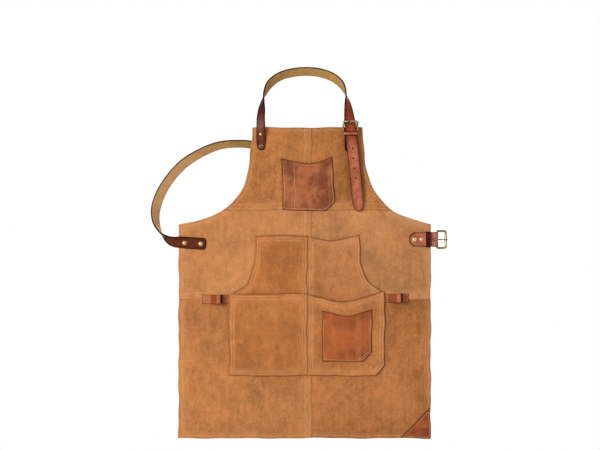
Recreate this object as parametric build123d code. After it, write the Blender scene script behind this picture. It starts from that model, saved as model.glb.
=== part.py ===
from build123d import *
import math
import os

# Leather work apron, hanging upright.  Millimetres, +Z up, the wearer's front faces -Y.
# Origin: the hem on the centre seam, on the back face of the body leather.

# ---------------------------------------------------------------- driving sizes
SUEDE = 2.0            # body and pocket leather
POCKET_LEATHER = 1.5   # smooth leather of the small pockets and the corner patch
STRAP_LEATHER = 2.8
TAB_LEATHER = 2.2
LAP = 22.0             # how far one panel runs behind the next at a seam
LAP_ROOT = 6.0         # how far a lap flange is bonded behind its own panel
GAP = 0.1              # clearance between parts that only lie beside each other
THROUGH = 120.0        # longer than anything that is cut or drilled right through

LEFT_EDGE = -321.0
RIGHT_EDGE = 309.5
WING_TOP = 534.5
BIB_TOP = 777.0
CHEST_SEAM = 569.0     # lower edge of the bib panels
HIP_SEAM = 347.5       # lower edge of the waist panels
CENTRE_LAP = 11.8      # edge of the left panels, which lie over the right ones

FRONT = -SUEDE         # y of the body's front face
HAND_POCKET_FRONT = FRONT - SUEDE
TOOL_POCKET_FRONT = HAND_POCKET_FRONT - SUEDE

NECK_STRAP_WIDTH = 28.5
NECK_END_HALF = 12.4   # half the width of the riveted end, which is pared narrower
WAIST_STRAP_WIDTH = 29.5
LOOP_AXIS_Y = -3.4     # the neck loop bends about this line, just above the buckle
LOOP_AXIS_Z = 800.0
LOOP_LEFT_X = -115.0
LOOP_RIGHT_X = 106.3
WAIST_AXIS_X = -320.5  # the waist strap bends about this upright line at the wing edge
WAIST_STRAP_Z = 490.0
STRAP_JOINT_GAP = 0.15
TIP_NARROWING = 0.72   # share of a strap's width that is gone at its tip

RIVET_CAP_RADIUS = 5.5
RIVET_CAP_HEIGHT = 2.2
RIVET_POST_RADIUS = 1.5
RIVET_HOLE_RADIUS = 1.6
RIVET_SOCKET_RADIUS = 1.52
RIVET_SOCKET_DEPTH = 1.2
RIVET_HEAD_RADIUS = 4.6
RIVET_HEAD_HEIGHT = 1.0

BAR_RADIUS = 1.9
ROLLER_BAR_RADIUS = 1.6
ROLLER_BORE_RADIUS = 1.67
ROLLER_RADIUS = 3.0
BUCKLE_DEPTH = 23.3    # heel bar to roller bar, centre to centre
PRONG_RADIUS = 1.3
PRONG_EYE_RADIUS = 3.6
PRONG_EYE_BORE = 1.97
PRONG_EYE_WIDTH = 3.2
PRONG_PAST_BAR = 2.6   # how far the prong's tip lies beyond the roller bar
FOLD_RADIUS = 2.05     # inside of the leather fold round the heel bar
HEEL_HEIGHT = TAB_LEATHER + FOLD_RADIUS
PRONG_SLOT = 5.4
PRONG_SLOT_REACH = 11.0
KEEPER_BACK = 1.2
KEEPER_LEATHER = 1.6

NECK_HEEL = (108.6, 768.5)     # x, z of the neck buckle's heel bar
NECK_TILT = 10.8               # the buckle leans forward over the strap
WAIST_HEEL = (323.5, 497.0)
WAIST_TAB_WIDTH = 35.0


# ---------------------------------------------------------------- small helpers
def sheet(outline, back_y, thickness):
    """Flat leather: a front-view outline made solid from back_y towards the front."""
    return extrude(Plane.XZ.offset(-back_y) * outline, amount=thickness)


def region(left, right, low, high):
    """Upright rectangle in the front view."""
    return Pos((left + right) / 2, (low + high) / 2) * Rectangle(right - left, high - low)


def outline_of(*edges):
    return make_face(Wire(edges))


def hole_through(x, z, radius):
    """A hole from front to back at a place in the front view."""
    return Pos(x, 0, z) * Rot(90, 0, 0) * Cylinder(radius, THROUGH)


def drilled(leather, places, radius=RIVET_HOLE_RADIUS):
    for x, z in places:
        leather = leather - hole_through(x, z, radius)
    return leather


def unit(vector):
    return Vector(*vector).normalized()


def blend_normals(normals, marks, u):
    """Grain direction at u, read between the directions given at the marks."""
    last = len(marks) - 1
    index = 0
    while index < last - 1 and u > marks[index + 1]:
        index = index + 1
    share = (u - marks[index]) / (marks[index + 1] - marks[index])
    share = min(max(share, 0.0), 1.0)
    return unit(normals[index]) * (1 - share) + unit(normals[index + 1]) * share


def chord_marks(points):
    """Share of the path length at which each point lies."""
    lengths = [0.0]
    for before, after in zip(points, points[1:]):
        lengths.append(lengths[-1] + (Vector(*after) - Vector(*before)).length)
    return [length / lengths[-1] for length in lengths]


def strap_along(points, normals, ends, width, steps, tip_length=0.0):
    """A flat strap lofted along a smooth path; the grain side faces the given directions.

    The first and last sections are square to the directions in ends.
    """
    path = Spline(*points)
    marks = chord_marks(points)
    tip_start = 1 - tip_length / path.length
    stations = [tip_start * step / steps for step in range(steps + 1)]
    if tip_length > 0:
        stations.append(tip_start + (1 - tip_start) * 0.55)
        stations.append(1.0)
    sections = []
    for u in stations:
        tangent = path % u
        if u == 0:
            tangent = Vector(*ends[0])
        if u == 1:
            tangent = Vector(*ends[1])
        rough = blend_normals(normals, marks, u)
        normal = (rough - tangent * rough.dot(tangent)).normalized()
        across = normal.cross(tangent)
        station_width = width
        if u > tip_start:
            share = (u - tip_start) / (1 - tip_start)
            station_width = width * (1 - TIP_NARROWING * share ** 1.5)
        place = Plane(origin=path @ u, x_dir=across, z_dir=tangent)
        sections.append(place * Rectangle(station_width, STRAP_LEATHER))
    return loft(sections), path


# ---------------------------------------------------------------- body panels
def body_outline():
    """The whole apron seen from the front: wings, armholes and bib."""
    left_armhole = Spline(
        (-136, BIB_TOP), (-141.5, 708), (-150, 656), (-171, 608),
        (-213, 568), (-267, 545.5), (LEFT_EDGE + 1, WING_TOP),
    )
    right_armhole = Spline(
        (138.5, BIB_TOP), (144, 708), (154, 656), (176, 608),
        (216, 568), (270, 546), (RIGHT_EDGE + 0.5, WING_TOP),
    )
    return outline_of(
        left_armhole,
        Line((LEFT_EDGE + 1, WING_TOP), (LEFT_EDGE, 0)),
        Line((LEFT_EDGE, 0), (RIGHT_EDGE, 0)),
        Line((RIGHT_EDGE, 0), (RIGHT_EDGE + 0.5, WING_TOP)),
        right_armhole,
        Line((138.5, BIB_TOP), (-136, BIB_TOP)),
    )


def panel(outline, left, right, low, high):
    return sheet(outline & region(left, right, low, high), 0, SUEDE)


def lap_flange(outline, left, right, low, high):
    """The hidden part of a seam, lying behind the neighbouring panel."""
    return sheet(outline & region(left, right, low, high), SUEDE, SUEDE)


def body_panels():
    outline = body_outline()
    far_left = LEFT_EDGE - 10
    far_right = RIGHT_EDGE + 10
    right_start = CENTRE_LAP + GAP
    flange_start = CENTRE_LAP - LAP
    rows = (
        ("bib", CHEST_SEAM, BIB_TOP + 1),
        ("waist", HIP_SEAM, CHEST_SEAM - GAP),
        ("skirt", -1, HIP_SEAM - GAP),
    )
    panels = {}
    for name, low, high in rows:
        left_panel = panel(outline, far_left, CENTRE_LAP, low, high)
        right_panel = panel(outline, right_start, far_right, low, high)
        right_panel = right_panel + lap_flange(
            outline, flange_start, right_start + LAP_ROOT, low + GAP, high - GAP
        )
        if name != "bib":
            left_panel = left_panel + lap_flange(
                outline, far_left, flange_start - GAP, high - LAP_ROOT, high + LAP
            )
            right_panel = right_panel + lap_flange(
                outline, right_start + LAP_ROOT + GAP, far_right, high - LAP_ROOT, high + LAP
            )
        panels[name + "_panel_left"] = left_panel
        panels[name + "_panel_right"] = right_panel
    return panels


# ---------------------------------------------------------------- pockets
POCKET_SPLIT = 1.0
HAND_POCKET_LOW = 157.0
TUCK_EDGE = 186.0      # the hand pocket layer is narrower here, so the tool loops tuck under


def hand_pocket_left():
    """Bib-shaped layer of the big pocket, straight along the top."""
    side = Spline((-129.5, 465), (-134, 430), (-150, 386), (-TUCK_EDGE, 362))
    return outline_of(
        Line((-129.5, 505.5), (POCKET_SPLIT, 505.5)),
        Line((POCKET_SPLIT, 505.5), (POCKET_SPLIT, HAND_POCKET_LOW)),
        Line((POCKET_SPLIT, HAND_POCKET_LOW), (-TUCK_EDGE, HAND_POCKET_LOW)),
        Line((-TUCK_EDGE, HAND_POCKET_LOW), (-TUCK_EDGE, 362)),
        side,
        Line((-129.5, 465), (-129.5, 505.5)),
    )


def hand_pocket_right():
    """Bib-shaped layer of the big pocket, scooped along the top."""
    split = POCKET_SPLIT + GAP
    side = Spline((132, 470), (135, 432), (152, 394), (TUCK_EDGE, 367))
    return outline_of(
        Spline((split, 504), (63, 494), (132, 507)),
        Line((132, 507), (132, 470)),
        side,
        Line((TUCK_EDGE, 367), (TUCK_EDGE, 172)),
        Line((TUCK_EDGE, 172), (170, HAND_POCKET_LOW)),
        Line((170, HAND_POCKET_LOW), (split, HAND_POCKET_LOW)),
        Line((split, HAND_POCKET_LOW), (split, 504)),
    )


def tool_pocket_left():
    """Lower front layer, a plain rectangle."""
    return region(-194.5, POCKET_SPLIT, HAND_POCKET_LOW, 360.5)


def tool_pocket_right():
    """Lower front layer with a scooped mouth and one corner cut off."""
    split = POCKET_SPLIT + GAP
    return outline_of(
        Spline((split, 359), (95, 342), (193.5, 367)),
        Line((193.5, 367), (194.5, 183)),
        Line((194.5, 183), (170.5, HAND_POCKET_LOW)),
        Line((170.5, HAND_POCKET_LOW), (split, HAND_POCKET_LOW)),
        Line((split, HAND_POCKET_LOW), (split, 359)),
    )


def chest_pocket():
    return outline_of(
        Spline((-63, 698), (8, 686.5), (64, 701.5)),
        Line((64, 701.5), (69, 589)),
        Line((69, 589), (48, 569.5)),
        Line((48, 569.5), (-59.5, 569.5)),
        Line((-59.5, 569.5), (-63, 698)),
    )


def rule_pocket():
    return outline_of(
        Spline((38, 318), (105, 306), (161.5, 320.5)),
        Line((161.5, 320.5), (161.5, 213)),
        Line((161.5, 213), (142, 192.5)),
        Line((142, 192.5), (39, 192.5)),
        Line((39, 192.5), (38, 318)),
    )


def corner_patch():
    return outline_of(
        Line((235, 0), (RIGHT_EDGE, 0)),
        Line((RIGHT_EDGE, 0), (RIGHT_EDGE, 79)),
        Line((RIGHT_EDGE, 79), (235, 0)),
    )


def tool_loop(outer_x, inner_x, low, high, bulge):
    """A strip sewn flat at both feet and standing proud between them, seen from above."""
    side = math.copysign(1.0, outer_x)
    foot_outer = outer_x - side * 21
    foot_inner = inner_x + side * 14
    overlap = side * SUEDE * 0.8
    middle = (foot_outer + foot_inner) / 2
    outer_arch = outline_of(
        ThreePointArc((foot_outer, FRONT), (middle, FRONT - bulge), (foot_inner, FRONT)),
        Line((foot_inner, FRONT), (foot_outer, FRONT)),
    )
    inner_arch = outline_of(
        ThreePointArc(
            (foot_outer - side * SUEDE, FRONT),
            (middle, FRONT - bulge + SUEDE),
            (foot_inner + side * SUEDE, FRONT),
        ),
        Line((foot_inner + side * SUEDE, FRONT), (foot_outer - side * SUEDE, FRONT)),
    )
    foot_mid_y = FRONT - SUEDE / 2
    outer_foot = Pos((outer_x + foot_outer - overlap) / 2, foot_mid_y) * Rectangle(
        21 + abs(overlap), SUEDE
    )
    inner_foot = Pos((inner_x + foot_inner + overlap) / 2, foot_mid_y) * Rectangle(
        14 + abs(overlap), SUEDE
    )
    strip = (outer_arch + outer_foot + inner_foot) - inner_arch
    return extrude(Plane.XY.offset(low) * strip, amount=high - low)


# ---------------------------------------------------------------- rivets
def rivet_cap():
    """Domed brass cap; its flat face is at the origin and the dome points to -Y."""
    ball = (RIVET_CAP_RADIUS ** 2 + RIVET_CAP_HEIGHT ** 2) / (2 * RIVET_CAP_HEIGHT)
    dome = Pos(0, 0, RIVET_CAP_HEIGHT - ball) * Sphere(ball)
    slab = Pos(0, 0, RIVET_CAP_HEIGHT / 2) * Box(30, 30, RIVET_CAP_HEIGHT)
    socket = Pos(0, 0, RIVET_SOCKET_DEPTH / 2) * Cylinder(RIVET_SOCKET_RADIUS, RIVET_SOCKET_DEPTH)
    return Rot(90, 0, 0) * ((dome & slab) - socket)


def rivet_post(grip):
    """Post through the leather stack with its flat head at the back, on +Y."""
    length = grip + RIVET_SOCKET_DEPTH - 0.1
    post = Pos(0, 0, length / 2) * Cylinder(RIVET_POST_RADIUS, length)
    head = Pos(0, 0, -RIVET_HEAD_HEIGHT / 2) * Cylinder(RIVET_HEAD_RADIUS, RIVET_HEAD_HEIGHT)
    head = fillet(head.edges().group_by(Axis.Z)[0], 0.4)
    return Rot(90, 0, 0) * (post + head)


def rivet_group(places, stack):
    """Caps and posts of rivets through a leather stack that ends at the body's back face."""
    caps = [Pos(x, -stack, z) * rivet_cap() for x, z in places]
    posts = [Pos(x, 0, z) * rivet_post(stack) for x, z in places]
    return Compound(caps), Compound(posts)


# ---------------------------------------------------------------- buckles
# Buckle parts are made in their own frame: +X runs from the heel bar to the roller,
# +Y stands out from the leather, Z runs across the strap.  The heel bar is on Z.
def buckle_frame(half_inside):
    half = half_inside + BAR_RADIUS
    heel = Cylinder(BAR_RADIUS, 2 * half)
    roller_bar = Pos(BUCKLE_DEPTH, 0, 0) * Cylinder(ROLLER_BAR_RADIUS, 2 * half)
    frame = heel + roller_bar
    for z in (-half, half):
        rail = Pos(BUCKLE_DEPTH / 2, 0, z) * Rot(0, 90, 0) * Cylinder(BAR_RADIUS, BUCKLE_DEPTH)
        frame = frame + rail
        frame = frame + Pos(0, 0, z) * Sphere(BAR_RADIUS)
        frame = frame + Pos(BUCKLE_DEPTH, 0, z) * Sphere(BAR_RADIUS)
    return frame


def buckle_roller(length):
    tube = Cylinder(ROLLER_RADIUS, length) - Cylinder(ROLLER_BORE_RADIUS, length + 1)
    return Pos(BUCKLE_DEPTH, 0, 0) * tube


def buckle_prong():
    """Eye round the heel bar and a pin that rests on the roller."""
    rest = ROLLER_RADIUS + PRONG_RADIUS + 0.05
    root_height = PRONG_EYE_RADIUS - PRONG_RADIUS * 0.6
    tip = Vector(BUCKLE_DEPTH + PRONG_PAST_BAR, rest - GAP, 0)
    middle = Vector(BUCKLE_DEPTH * 0.55, rest + GAP, 0)
    path = Spline((0.5, root_height, 0), middle, tip)
    start = Plane(origin=path @ 0, z_dir=path % 0)
    pin = sweep(start * Circle(PRONG_RADIUS), path=path)
    pin = pin + Pos(tip) * Sphere(PRONG_RADIUS)
    eye = Cylinder(PRONG_EYE_RADIUS, PRONG_EYE_WIDTH)
    bore = Cylinder(PRONG_EYE_BORE, PRONG_EYE_WIDTH + 4)
    return (eye + pin) - bore


def buckle_tab(width, length, knee_near, knee_far, rivets):
    """Tab folded round the heel bar; its back face lies on the body at y = -HEEL_HEIGHT."""
    base = -HEEL_HEIGHT
    gap = KEEPER_BACK + 0.2
    top = base + TAB_LEATHER
    inner_at_fold = base + TAB_LEATHER + 2 * FOLD_RADIUS
    back_layer = Pos(-length / 2, base + TAB_LEATHER / 2) * Rectangle(length, TAB_LEATHER)
    front_layer = outline_of(
        Line((0, inner_at_fold), (-knee_near, top + gap)),
        Line((-knee_near, top + gap), (-knee_far, top)),
        Line((-knee_far, top), (-length, top)),
        Line((-length, top), (-length, top + TAB_LEATHER)),
        Line((-length, top + TAB_LEATHER), (-knee_far, top + TAB_LEATHER)),
        Line((-knee_far, top + TAB_LEATHER), (-knee_near, top + gap + TAB_LEATHER)),
        Line((-knee_near, top + gap + TAB_LEATHER), (0, inner_at_fold + TAB_LEATHER)),
        Line((0, inner_at_fold + TAB_LEATHER), (0, inner_at_fold)),
    )
    ring = Circle(FOLD_RADIUS + TAB_LEATHER) - Circle(FOLD_RADIUS)
    fold = ring & (Pos(10, 0) * Rectangle(20, 20))
    profile = back_layer + front_layer + fold
    tab = extrude(profile, amount=width / 2, both=True)
    tab = tab - Box(PRONG_SLOT_REACH * 2, THROUGH, PRONG_SLOT)
    for x, z in rivets:
        tab = tab - Pos(x, 0, z) * Rot(90, 0, 0) * Cylinder(RIVET_HOLE_RADIUS, THROUGH)
    round_centre = -length + width / 2
    straight_part = Pos(round_centre + THROUGH / 2, 0, 0) * Box(THROUGH, THROUGH, THROUGH)
    round_part = Pos(round_centre, 0, 0) * Rot(90, 0, 0) * Cylinder(width / 2, THROUGH)
    return tab & (straight_part + round_part)


def keeper(near, far, half_inside, front_height, aside):
    """Leather loop held between the two layers of a tab."""
    base = -HEEL_HEIGHT + TAB_LEATHER + 0.1
    depth = front_height - base
    inner_depth = depth - KEEPER_BACK - KEEPER_LEATHER
    length = far - near
    outer = Pos(0, base + depth / 2, 0) * Box(length, depth, 2 * (half_inside + KEEPER_LEATHER))
    inner = Pos(0, base + KEEPER_BACK + inner_depth / 2, 0) * Box(2 * length, inner_depth, 2 * half_inside)
    return Pos(-(near + far) / 2, 0, aside) * (outer - inner)


def neck_place():
    """The neck buckle's frame: roller up, standing out to the front."""
    x, z = NECK_HEEL
    return Plane(origin=(x, FRONT - HEEL_HEIGHT, z), x_dir=(0, 0, 1), z_dir=(1, 0, 0)).location


def waist_place():
    """The waist buckle's frame: roller to the right, standing out to the front."""
    x, z = WAIST_HEEL
    return Plane(origin=(x, FRONT - HEEL_HEIGHT, z), x_dir=(1, 0, 0), z_dir=(0, 0, -1)).location


NECK_HALF_INSIDE = 16.2
WAIST_HALF_INSIDE = 19.2
NECK_RIVETS = ((-28.0, 0.0), (-46.5, 0.0))      # along the tab, across the tab
WAIST_RIVETS = ((-36.2, 0.0), (-54.2, 0.0))


def neck_buckle_parts():
    place = neck_place()
    leaning = place * Rot(0, 0, NECK_TILT)
    return {
        "neck_buckle_frame": leaning * buckle_frame(NECK_HALF_INSIDE),
        "neck_buckle_roller": leaning * buckle_roller(24),
        "neck_buckle_prong": leaning * buckle_prong(),
        "neck_buckle_tab": place * buckle_tab(NECK_STRAP_WIDTH, 54.5, 17, 21.5, NECK_RIVETS),
        "neck_strap_keeper": place * keeper(3.5, 13.5, 15.95, 10.1, 1.45),
    }


def waist_buckle_parts():
    place = waist_place()
    return {
        "waist_buckle_frame": place * buckle_frame(WAIST_HALF_INSIDE),
        "waist_buckle_roller": place * buckle_roller(28),
        "waist_buckle_prong": place * buckle_prong(),
        "waist_buckle_tab": place * buckle_tab(WAIST_TAB_WIDTH, 67, 27, 30.3, WAIST_RIVETS),
        "waist_strap_keeper": place * keeper(16, 26.5, 18.2, 7.4, 0),
    }


# ---------------------------------------------------------------- neck strap
TAIL_LEAN = 0.1034     # sideways drift of the hanging strap per millimetre of drop
TAIL_TIP_Z = 566.0
TAIL_HOLE_TOP = 725.5
HOLE_PITCH = 25.0
HOLE_RADIUS = 2.2


def round_end(x, y, z, width, upright):
    """Rounded strap end whose axis is a bending line."""
    turn = Rot(0, 0, 0) if upright else Rot(0, 90, 0)
    return Pos(x, y, z) * turn * Cylinder(STRAP_LEATHER / 2, width)


def neck_strap_end():
    """The riveted end on the left of the bib, blunt-pointed, up to the bending line."""
    half = NECK_END_HALF
    tip = 719.5
    shoulder = tip + 23
    top = LOOP_AXIS_Z - STRAP_LEATHER / 2 - STRAP_JOINT_GAP
    outline = outline_of(
        Line((-114 - half, shoulder), (-115 - half, top)),
        Line((-115 - half, top), (-115 + half, top)),
        Line((-115 + half, top), (-114 + half, shoulder)),
        ThreePointArc((-114 + half, shoulder), (-105, tip + 8), (-112, tip)),
        Line((-112, tip), (-116, tip)),
        ThreePointArc((-116, tip), (-123, tip + 8), (-114 - half, shoulder)),
    )
    return sheet(outline, FRONT, STRAP_LEATHER)


def neck_strap_loop():
    """From one side of the bib over the neck to the other, turning over twice."""
    y = LOOP_AXIS_Y
    points = (
        (LOOP_LEFT_X, y, LOOP_AXIS_Z), (-114.5, y, 808), (-113, y, 820), (-110.5, y + 1, 840),
        (-107, y + 2, 858), (-92, y + 4, 885.5), (-67, y + 6, 904), (-25, y + 8, 915), (25, y + 8, 914),
        (62, y + 6, 902), (84, y + 4, 885), (95.5, y + 2, 862), (101, y + 1, 838),
        (LOOP_RIGHT_X - 0.5, y, LOOP_AXIS_Z + 8), (LOOP_RIGHT_X, y, LOOP_AXIS_Z),
    )
    normals = (
        (0, -1, 0), (-0.1, -1, 0), (-0.45, -0.85, 0), (-0.9, -0.4, 0), (-1, 0.1, 0),
        (-0.6, 0.6, 0.5), (-0.2, 0.85, 0.5), (0, 0.88, 0.47), (0, 0.88, 0.47),
        (0.3, 0.8, 0.5), (0.65, 0.55, 0.5), (1, 0.1, 0), (0.8, -0.5, 0),
        (0.1, -1, 0), (0, -1, 0),
    )
    ends = ((0, 0, 1), (0, 0, -1))
    strap, path = strap_along(points, normals, ends, NECK_STRAP_WIDTH, 26)
    strap = strap + round_end(LOOP_LEFT_X, y, LOOP_AXIS_Z, NECK_STRAP_WIDTH, False)
    return strap + round_end(LOOP_RIGHT_X, y, LOOP_AXIS_Z, NECK_STRAP_WIDTH, False)


def tail_centre_x(z):
    return LOOP_RIGHT_X + (LOOP_AXIS_Z - z) * TAIL_LEAN


def neck_strap_tail():
    """Through the buckle, over the tab and down to the pointed tip."""
    top = LOOP_AXIS_Z - STRAP_LEATHER / 2 - STRAP_JOINT_GAP
    side_path = (
        (LOOP_AXIS_Y, top + 3), (-5.0, 791), (-12.4, 768.5), (-12.0, 757), (-10.7, 740),
        (-10.4, 716), (-9.0, 670), (-7.2, TAIL_TIP_Z),
    )
    centre = Spline(*side_path)
    half = STRAP_LEATHER / 2
    near_points = []
    far_points = []
    for step in range(25):
        u = step / 24
        point = centre @ u
        along = centre % u
        near_points.append((point.X - along.Y * half, point.Y + along.X * half))
        far_points.append((point.X + along.Y * half, point.Y - along.X * half))
    band = outline_of(
        Spline(*near_points),
        Line(near_points[-1], far_points[-1]),
        Spline(*far_points),
        Line(far_points[0], near_points[0]),
    )
    band = extrude(Plane.YZ * band, amount=200)
    wide = NECK_STRAP_WIDTH / 2
    shoulder = TAIL_TIP_Z + 26
    top_x = tail_centre_x(top)
    low_x = tail_centre_x(shoulder)
    tip_x = tail_centre_x(TAIL_TIP_Z)
    front = outline_of(
        Line((top_x - wide, top), (top_x + wide, top)),
        Line((top_x + wide, top), (low_x + wide, shoulder)),
        ThreePointArc((low_x + wide, shoulder), (low_x + 11, TAIL_TIP_Z + 11), (tip_x + 1.5, TAIL_TIP_Z)),
        Line((tip_x + 1.5, TAIL_TIP_Z), (tip_x - 1.5, TAIL_TIP_Z)),
        ThreePointArc((tip_x - 1.5, TAIL_TIP_Z), (low_x - 9.5, TAIL_TIP_Z + 11), (low_x - wide, shoulder)),
        Line((low_x - wide, shoulder), (top_x - wide, top)),
    )
    tail = band & sheet(front, 20, 60)
    holes = [TAIL_HOLE_TOP - HOLE_PITCH * count for count in range(4)]
    tail = drilled(tail, [(tail_centre_x(z), z) for z in holes], HOLE_RADIUS)
    slot = Pos(tail_centre_x(774), 0, 774) * Box(PRONG_SLOT, 60, 17)
    return tail - slot


# ---------------------------------------------------------------- waist strap
WAIST_STRAP_LIFT = 14.6    # how far behind the bib the strap's middle passes


def waist_strap_end():
    """The riveted end on the left wing, with round corners, up to the bending line."""
    half = WAIST_STRAP_WIDTH / 2
    edge = WAIST_AXIS_X + STRAP_LEATHER / 2 + STRAP_JOINT_GAP
    end_x = -252.0
    corner = 7.0
    on_arc = corner * (1 - math.sqrt(0.5))
    high = 485.7 + half
    low = 485.7 - half
    outline = outline_of(
        Line((edge, WAIST_STRAP_Z + half), (end_x - corner, high)),
        ThreePointArc((end_x - corner, high), (end_x - on_arc, high - on_arc), (end_x, high - corner)),
        Line((end_x, high - corner), (end_x, low + corner)),
        ThreePointArc((end_x, low + corner), (end_x - on_arc, low + on_arc), (end_x - corner, low)),
        Line((end_x - corner, low), (edge, WAIST_STRAP_Z - half)),
        Line((edge, WAIST_STRAP_Z - half), (edge, WAIST_STRAP_Z + half)),
    )
    return sheet(outline, FRONT, STRAP_LEATHER)


def waist_strap():
    """Turns over beside the wing, rises in a wide arc and hangs behind the apron."""
    y = FRONT - STRAP_LEATHER / 2
    lift = WAIST_STRAP_LIFT
    points = (
        (WAIST_AXIS_X, y, WAIST_STRAP_Z), (-329, y, WAIST_STRAP_Z + 0.4), (-344, y, 495),
        (-364, y + 2, 513), (-377, 2, 545), (-376, 6, 580), (-354, 9, 630), (-311, 11, 682), (-263, 13, 713),
        (-216, lift, 731), (-167, lift, 735), (-139, lift, 732), (-67, lift, 708),
        (8, 10, 664), (70, 7.5, 595), (108, 6.5, 508), (125, 6.5, 408), (128, 6.5, 295),
    )
    normals = (
        (0, -1, 0), (-0.05, -1, -0.1), (-0.3, -0.8, -0.5), (-0.7, 0, -0.7), (-0.85, 0.5, -0.2),
        (-0.69, 0.72, 0), (-0.55, 0.72, 0.4), (-0.4, 0.72, 0.56), (-0.3, 0.65, 0.68),
        (-0.1, 0.58, 0.8), (0, 0.55, 0.84), (0.05, 0.6, 0.8), (0.2, 0.87, 0.45),
        (0, 1, 0), (0, 1, 0), (0, 1, 0), (0, 1, 0), (0, 1, 0),
    )
    ends = ((-1, 0, 0), (0, 0, -1))
    strap, path = strap_along(points, normals, ends, WAIST_STRAP_WIDTH, 40, tip_length=26)
    strap = strap + round_end(WAIST_AXIS_X, y, WAIST_STRAP_Z, WAIST_STRAP_WIDTH, True)
    first_hole = 70.0
    for count in range(7):
        place = path @ (1 - (first_hole + HOLE_PITCH * count) / path.length)
        strap = strap - hole_through(place.X, place.Z, HOLE_RADIUS)
    return strap


# ---------------------------------------------------------------- the whole apron
def front_places(place, rivets):
    """Front-view positions of rivets given in a buckle's own frame."""
    found = []
    for x, z in rivets:
        spot = (place * Pos(x, 0, z)).position
        found.append((spot.X, spot.Z))
    return found


def build_apron():
    neck_end_rivets = ((-114.0, 760.5), (-114.0, 729.5))
    waist_end_rivets = ((-305.5, 488.5), (-265.0, 486.0))
    neck_tab_rivets = front_places(neck_place(), NECK_RIVETS)
    waist_tab_rivets = front_places(waist_place(), WAIST_RIVETS)

    parts = body_panels()
    parts["bib_panel_left"] = drilled(parts["bib_panel_left"], neck_end_rivets)
    parts["bib_panel_right"] = drilled(parts["bib_panel_right"], neck_tab_rivets)
    parts["waist_panel_left"] = drilled(parts["waist_panel_left"], waist_end_rivets)
    parts["waist_panel_right"] = drilled(parts["waist_panel_right"], waist_tab_rivets)

    parts["hand_pocket_left"] = sheet(hand_pocket_left(), FRONT, SUEDE)
    parts["hand_pocket_right"] = sheet(hand_pocket_right(), FRONT, SUEDE)
    parts["tool_pocket_left"] = sheet(tool_pocket_left(), HAND_POCKET_FRONT, SUEDE)
    parts["tool_pocket_right"] = sheet(tool_pocket_right(), HAND_POCKET_FRONT, SUEDE)
    parts["rule_pocket"] = sheet(rule_pocket(), TOOL_POCKET_FRONT, POCKET_LEATHER)
    parts["chest_pocket"] = sheet(chest_pocket(), FRONT, POCKET_LEATHER)
    parts["corner_patch"] = sheet(corner_patch(), FRONT, POCKET_LEATHER)
    parts["tool_loop_left"] = tool_loop(-261.5, -TUCK_EDGE - GAP, 336.5, 359.0, 17)
    parts["tool_loop_right"] = tool_loop(254.5, TUCK_EDGE + GAP, 339.5, 362.0, 15)

    parts["neck_strap_end"] = drilled(neck_strap_end(), neck_end_rivets)
    parts["neck_strap_loop"] = neck_strap_loop()
    parts["neck_strap_tail"] = neck_strap_tail()
    parts["waist_strap_end"] = drilled(waist_strap_end(), waist_end_rivets)
    parts["waist_strap"] = waist_strap()
    parts.update(neck_buckle_parts())
    parts.update(waist_buckle_parts())

    strap_stack = SUEDE + STRAP_LEATHER
    tab_stack = SUEDE + 2 * TAB_LEATHER
    groups = (
        ("neck_strap_rivet", neck_end_rivets, strap_stack),
        ("neck_tab_rivet", neck_tab_rivets, tab_stack),
        ("waist_strap_rivet", waist_end_rivets, strap_stack),
        ("waist_tab_rivet", waist_tab_rivets, tab_stack),
    )
    for name, places, stack in groups:
        caps, posts = rivet_group(places, stack)
        parts[name + "_caps"] = caps
        parts[name + "_posts"] = posts
    return parts


os.makedirs("parts", exist_ok=True)
for part_name, shape in build_apron().items():
    export_step(shape, "parts/" + part_name + ".step")
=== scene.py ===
import math

import bpy
import numpy as np
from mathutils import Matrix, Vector
from mathutils.geometry import delaunay_2d_cdt


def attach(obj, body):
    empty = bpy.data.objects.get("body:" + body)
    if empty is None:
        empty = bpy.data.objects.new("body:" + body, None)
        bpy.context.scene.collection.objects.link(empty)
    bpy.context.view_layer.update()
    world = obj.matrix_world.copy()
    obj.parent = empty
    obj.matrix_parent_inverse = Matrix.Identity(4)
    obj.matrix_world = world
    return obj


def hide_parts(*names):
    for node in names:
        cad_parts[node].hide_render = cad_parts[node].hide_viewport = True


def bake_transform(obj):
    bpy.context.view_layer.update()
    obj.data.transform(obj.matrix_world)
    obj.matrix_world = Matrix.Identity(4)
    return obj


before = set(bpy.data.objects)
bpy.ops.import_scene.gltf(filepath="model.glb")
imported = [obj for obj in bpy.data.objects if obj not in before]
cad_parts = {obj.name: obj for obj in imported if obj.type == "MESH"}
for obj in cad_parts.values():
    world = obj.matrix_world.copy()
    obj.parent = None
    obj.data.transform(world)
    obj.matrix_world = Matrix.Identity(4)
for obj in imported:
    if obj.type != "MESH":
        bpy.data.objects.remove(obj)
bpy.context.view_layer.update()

MM = 0.001
RANDOM = np.random.default_rng(7)
OUT = np.array([0.0, -1.0, 0.0])

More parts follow.
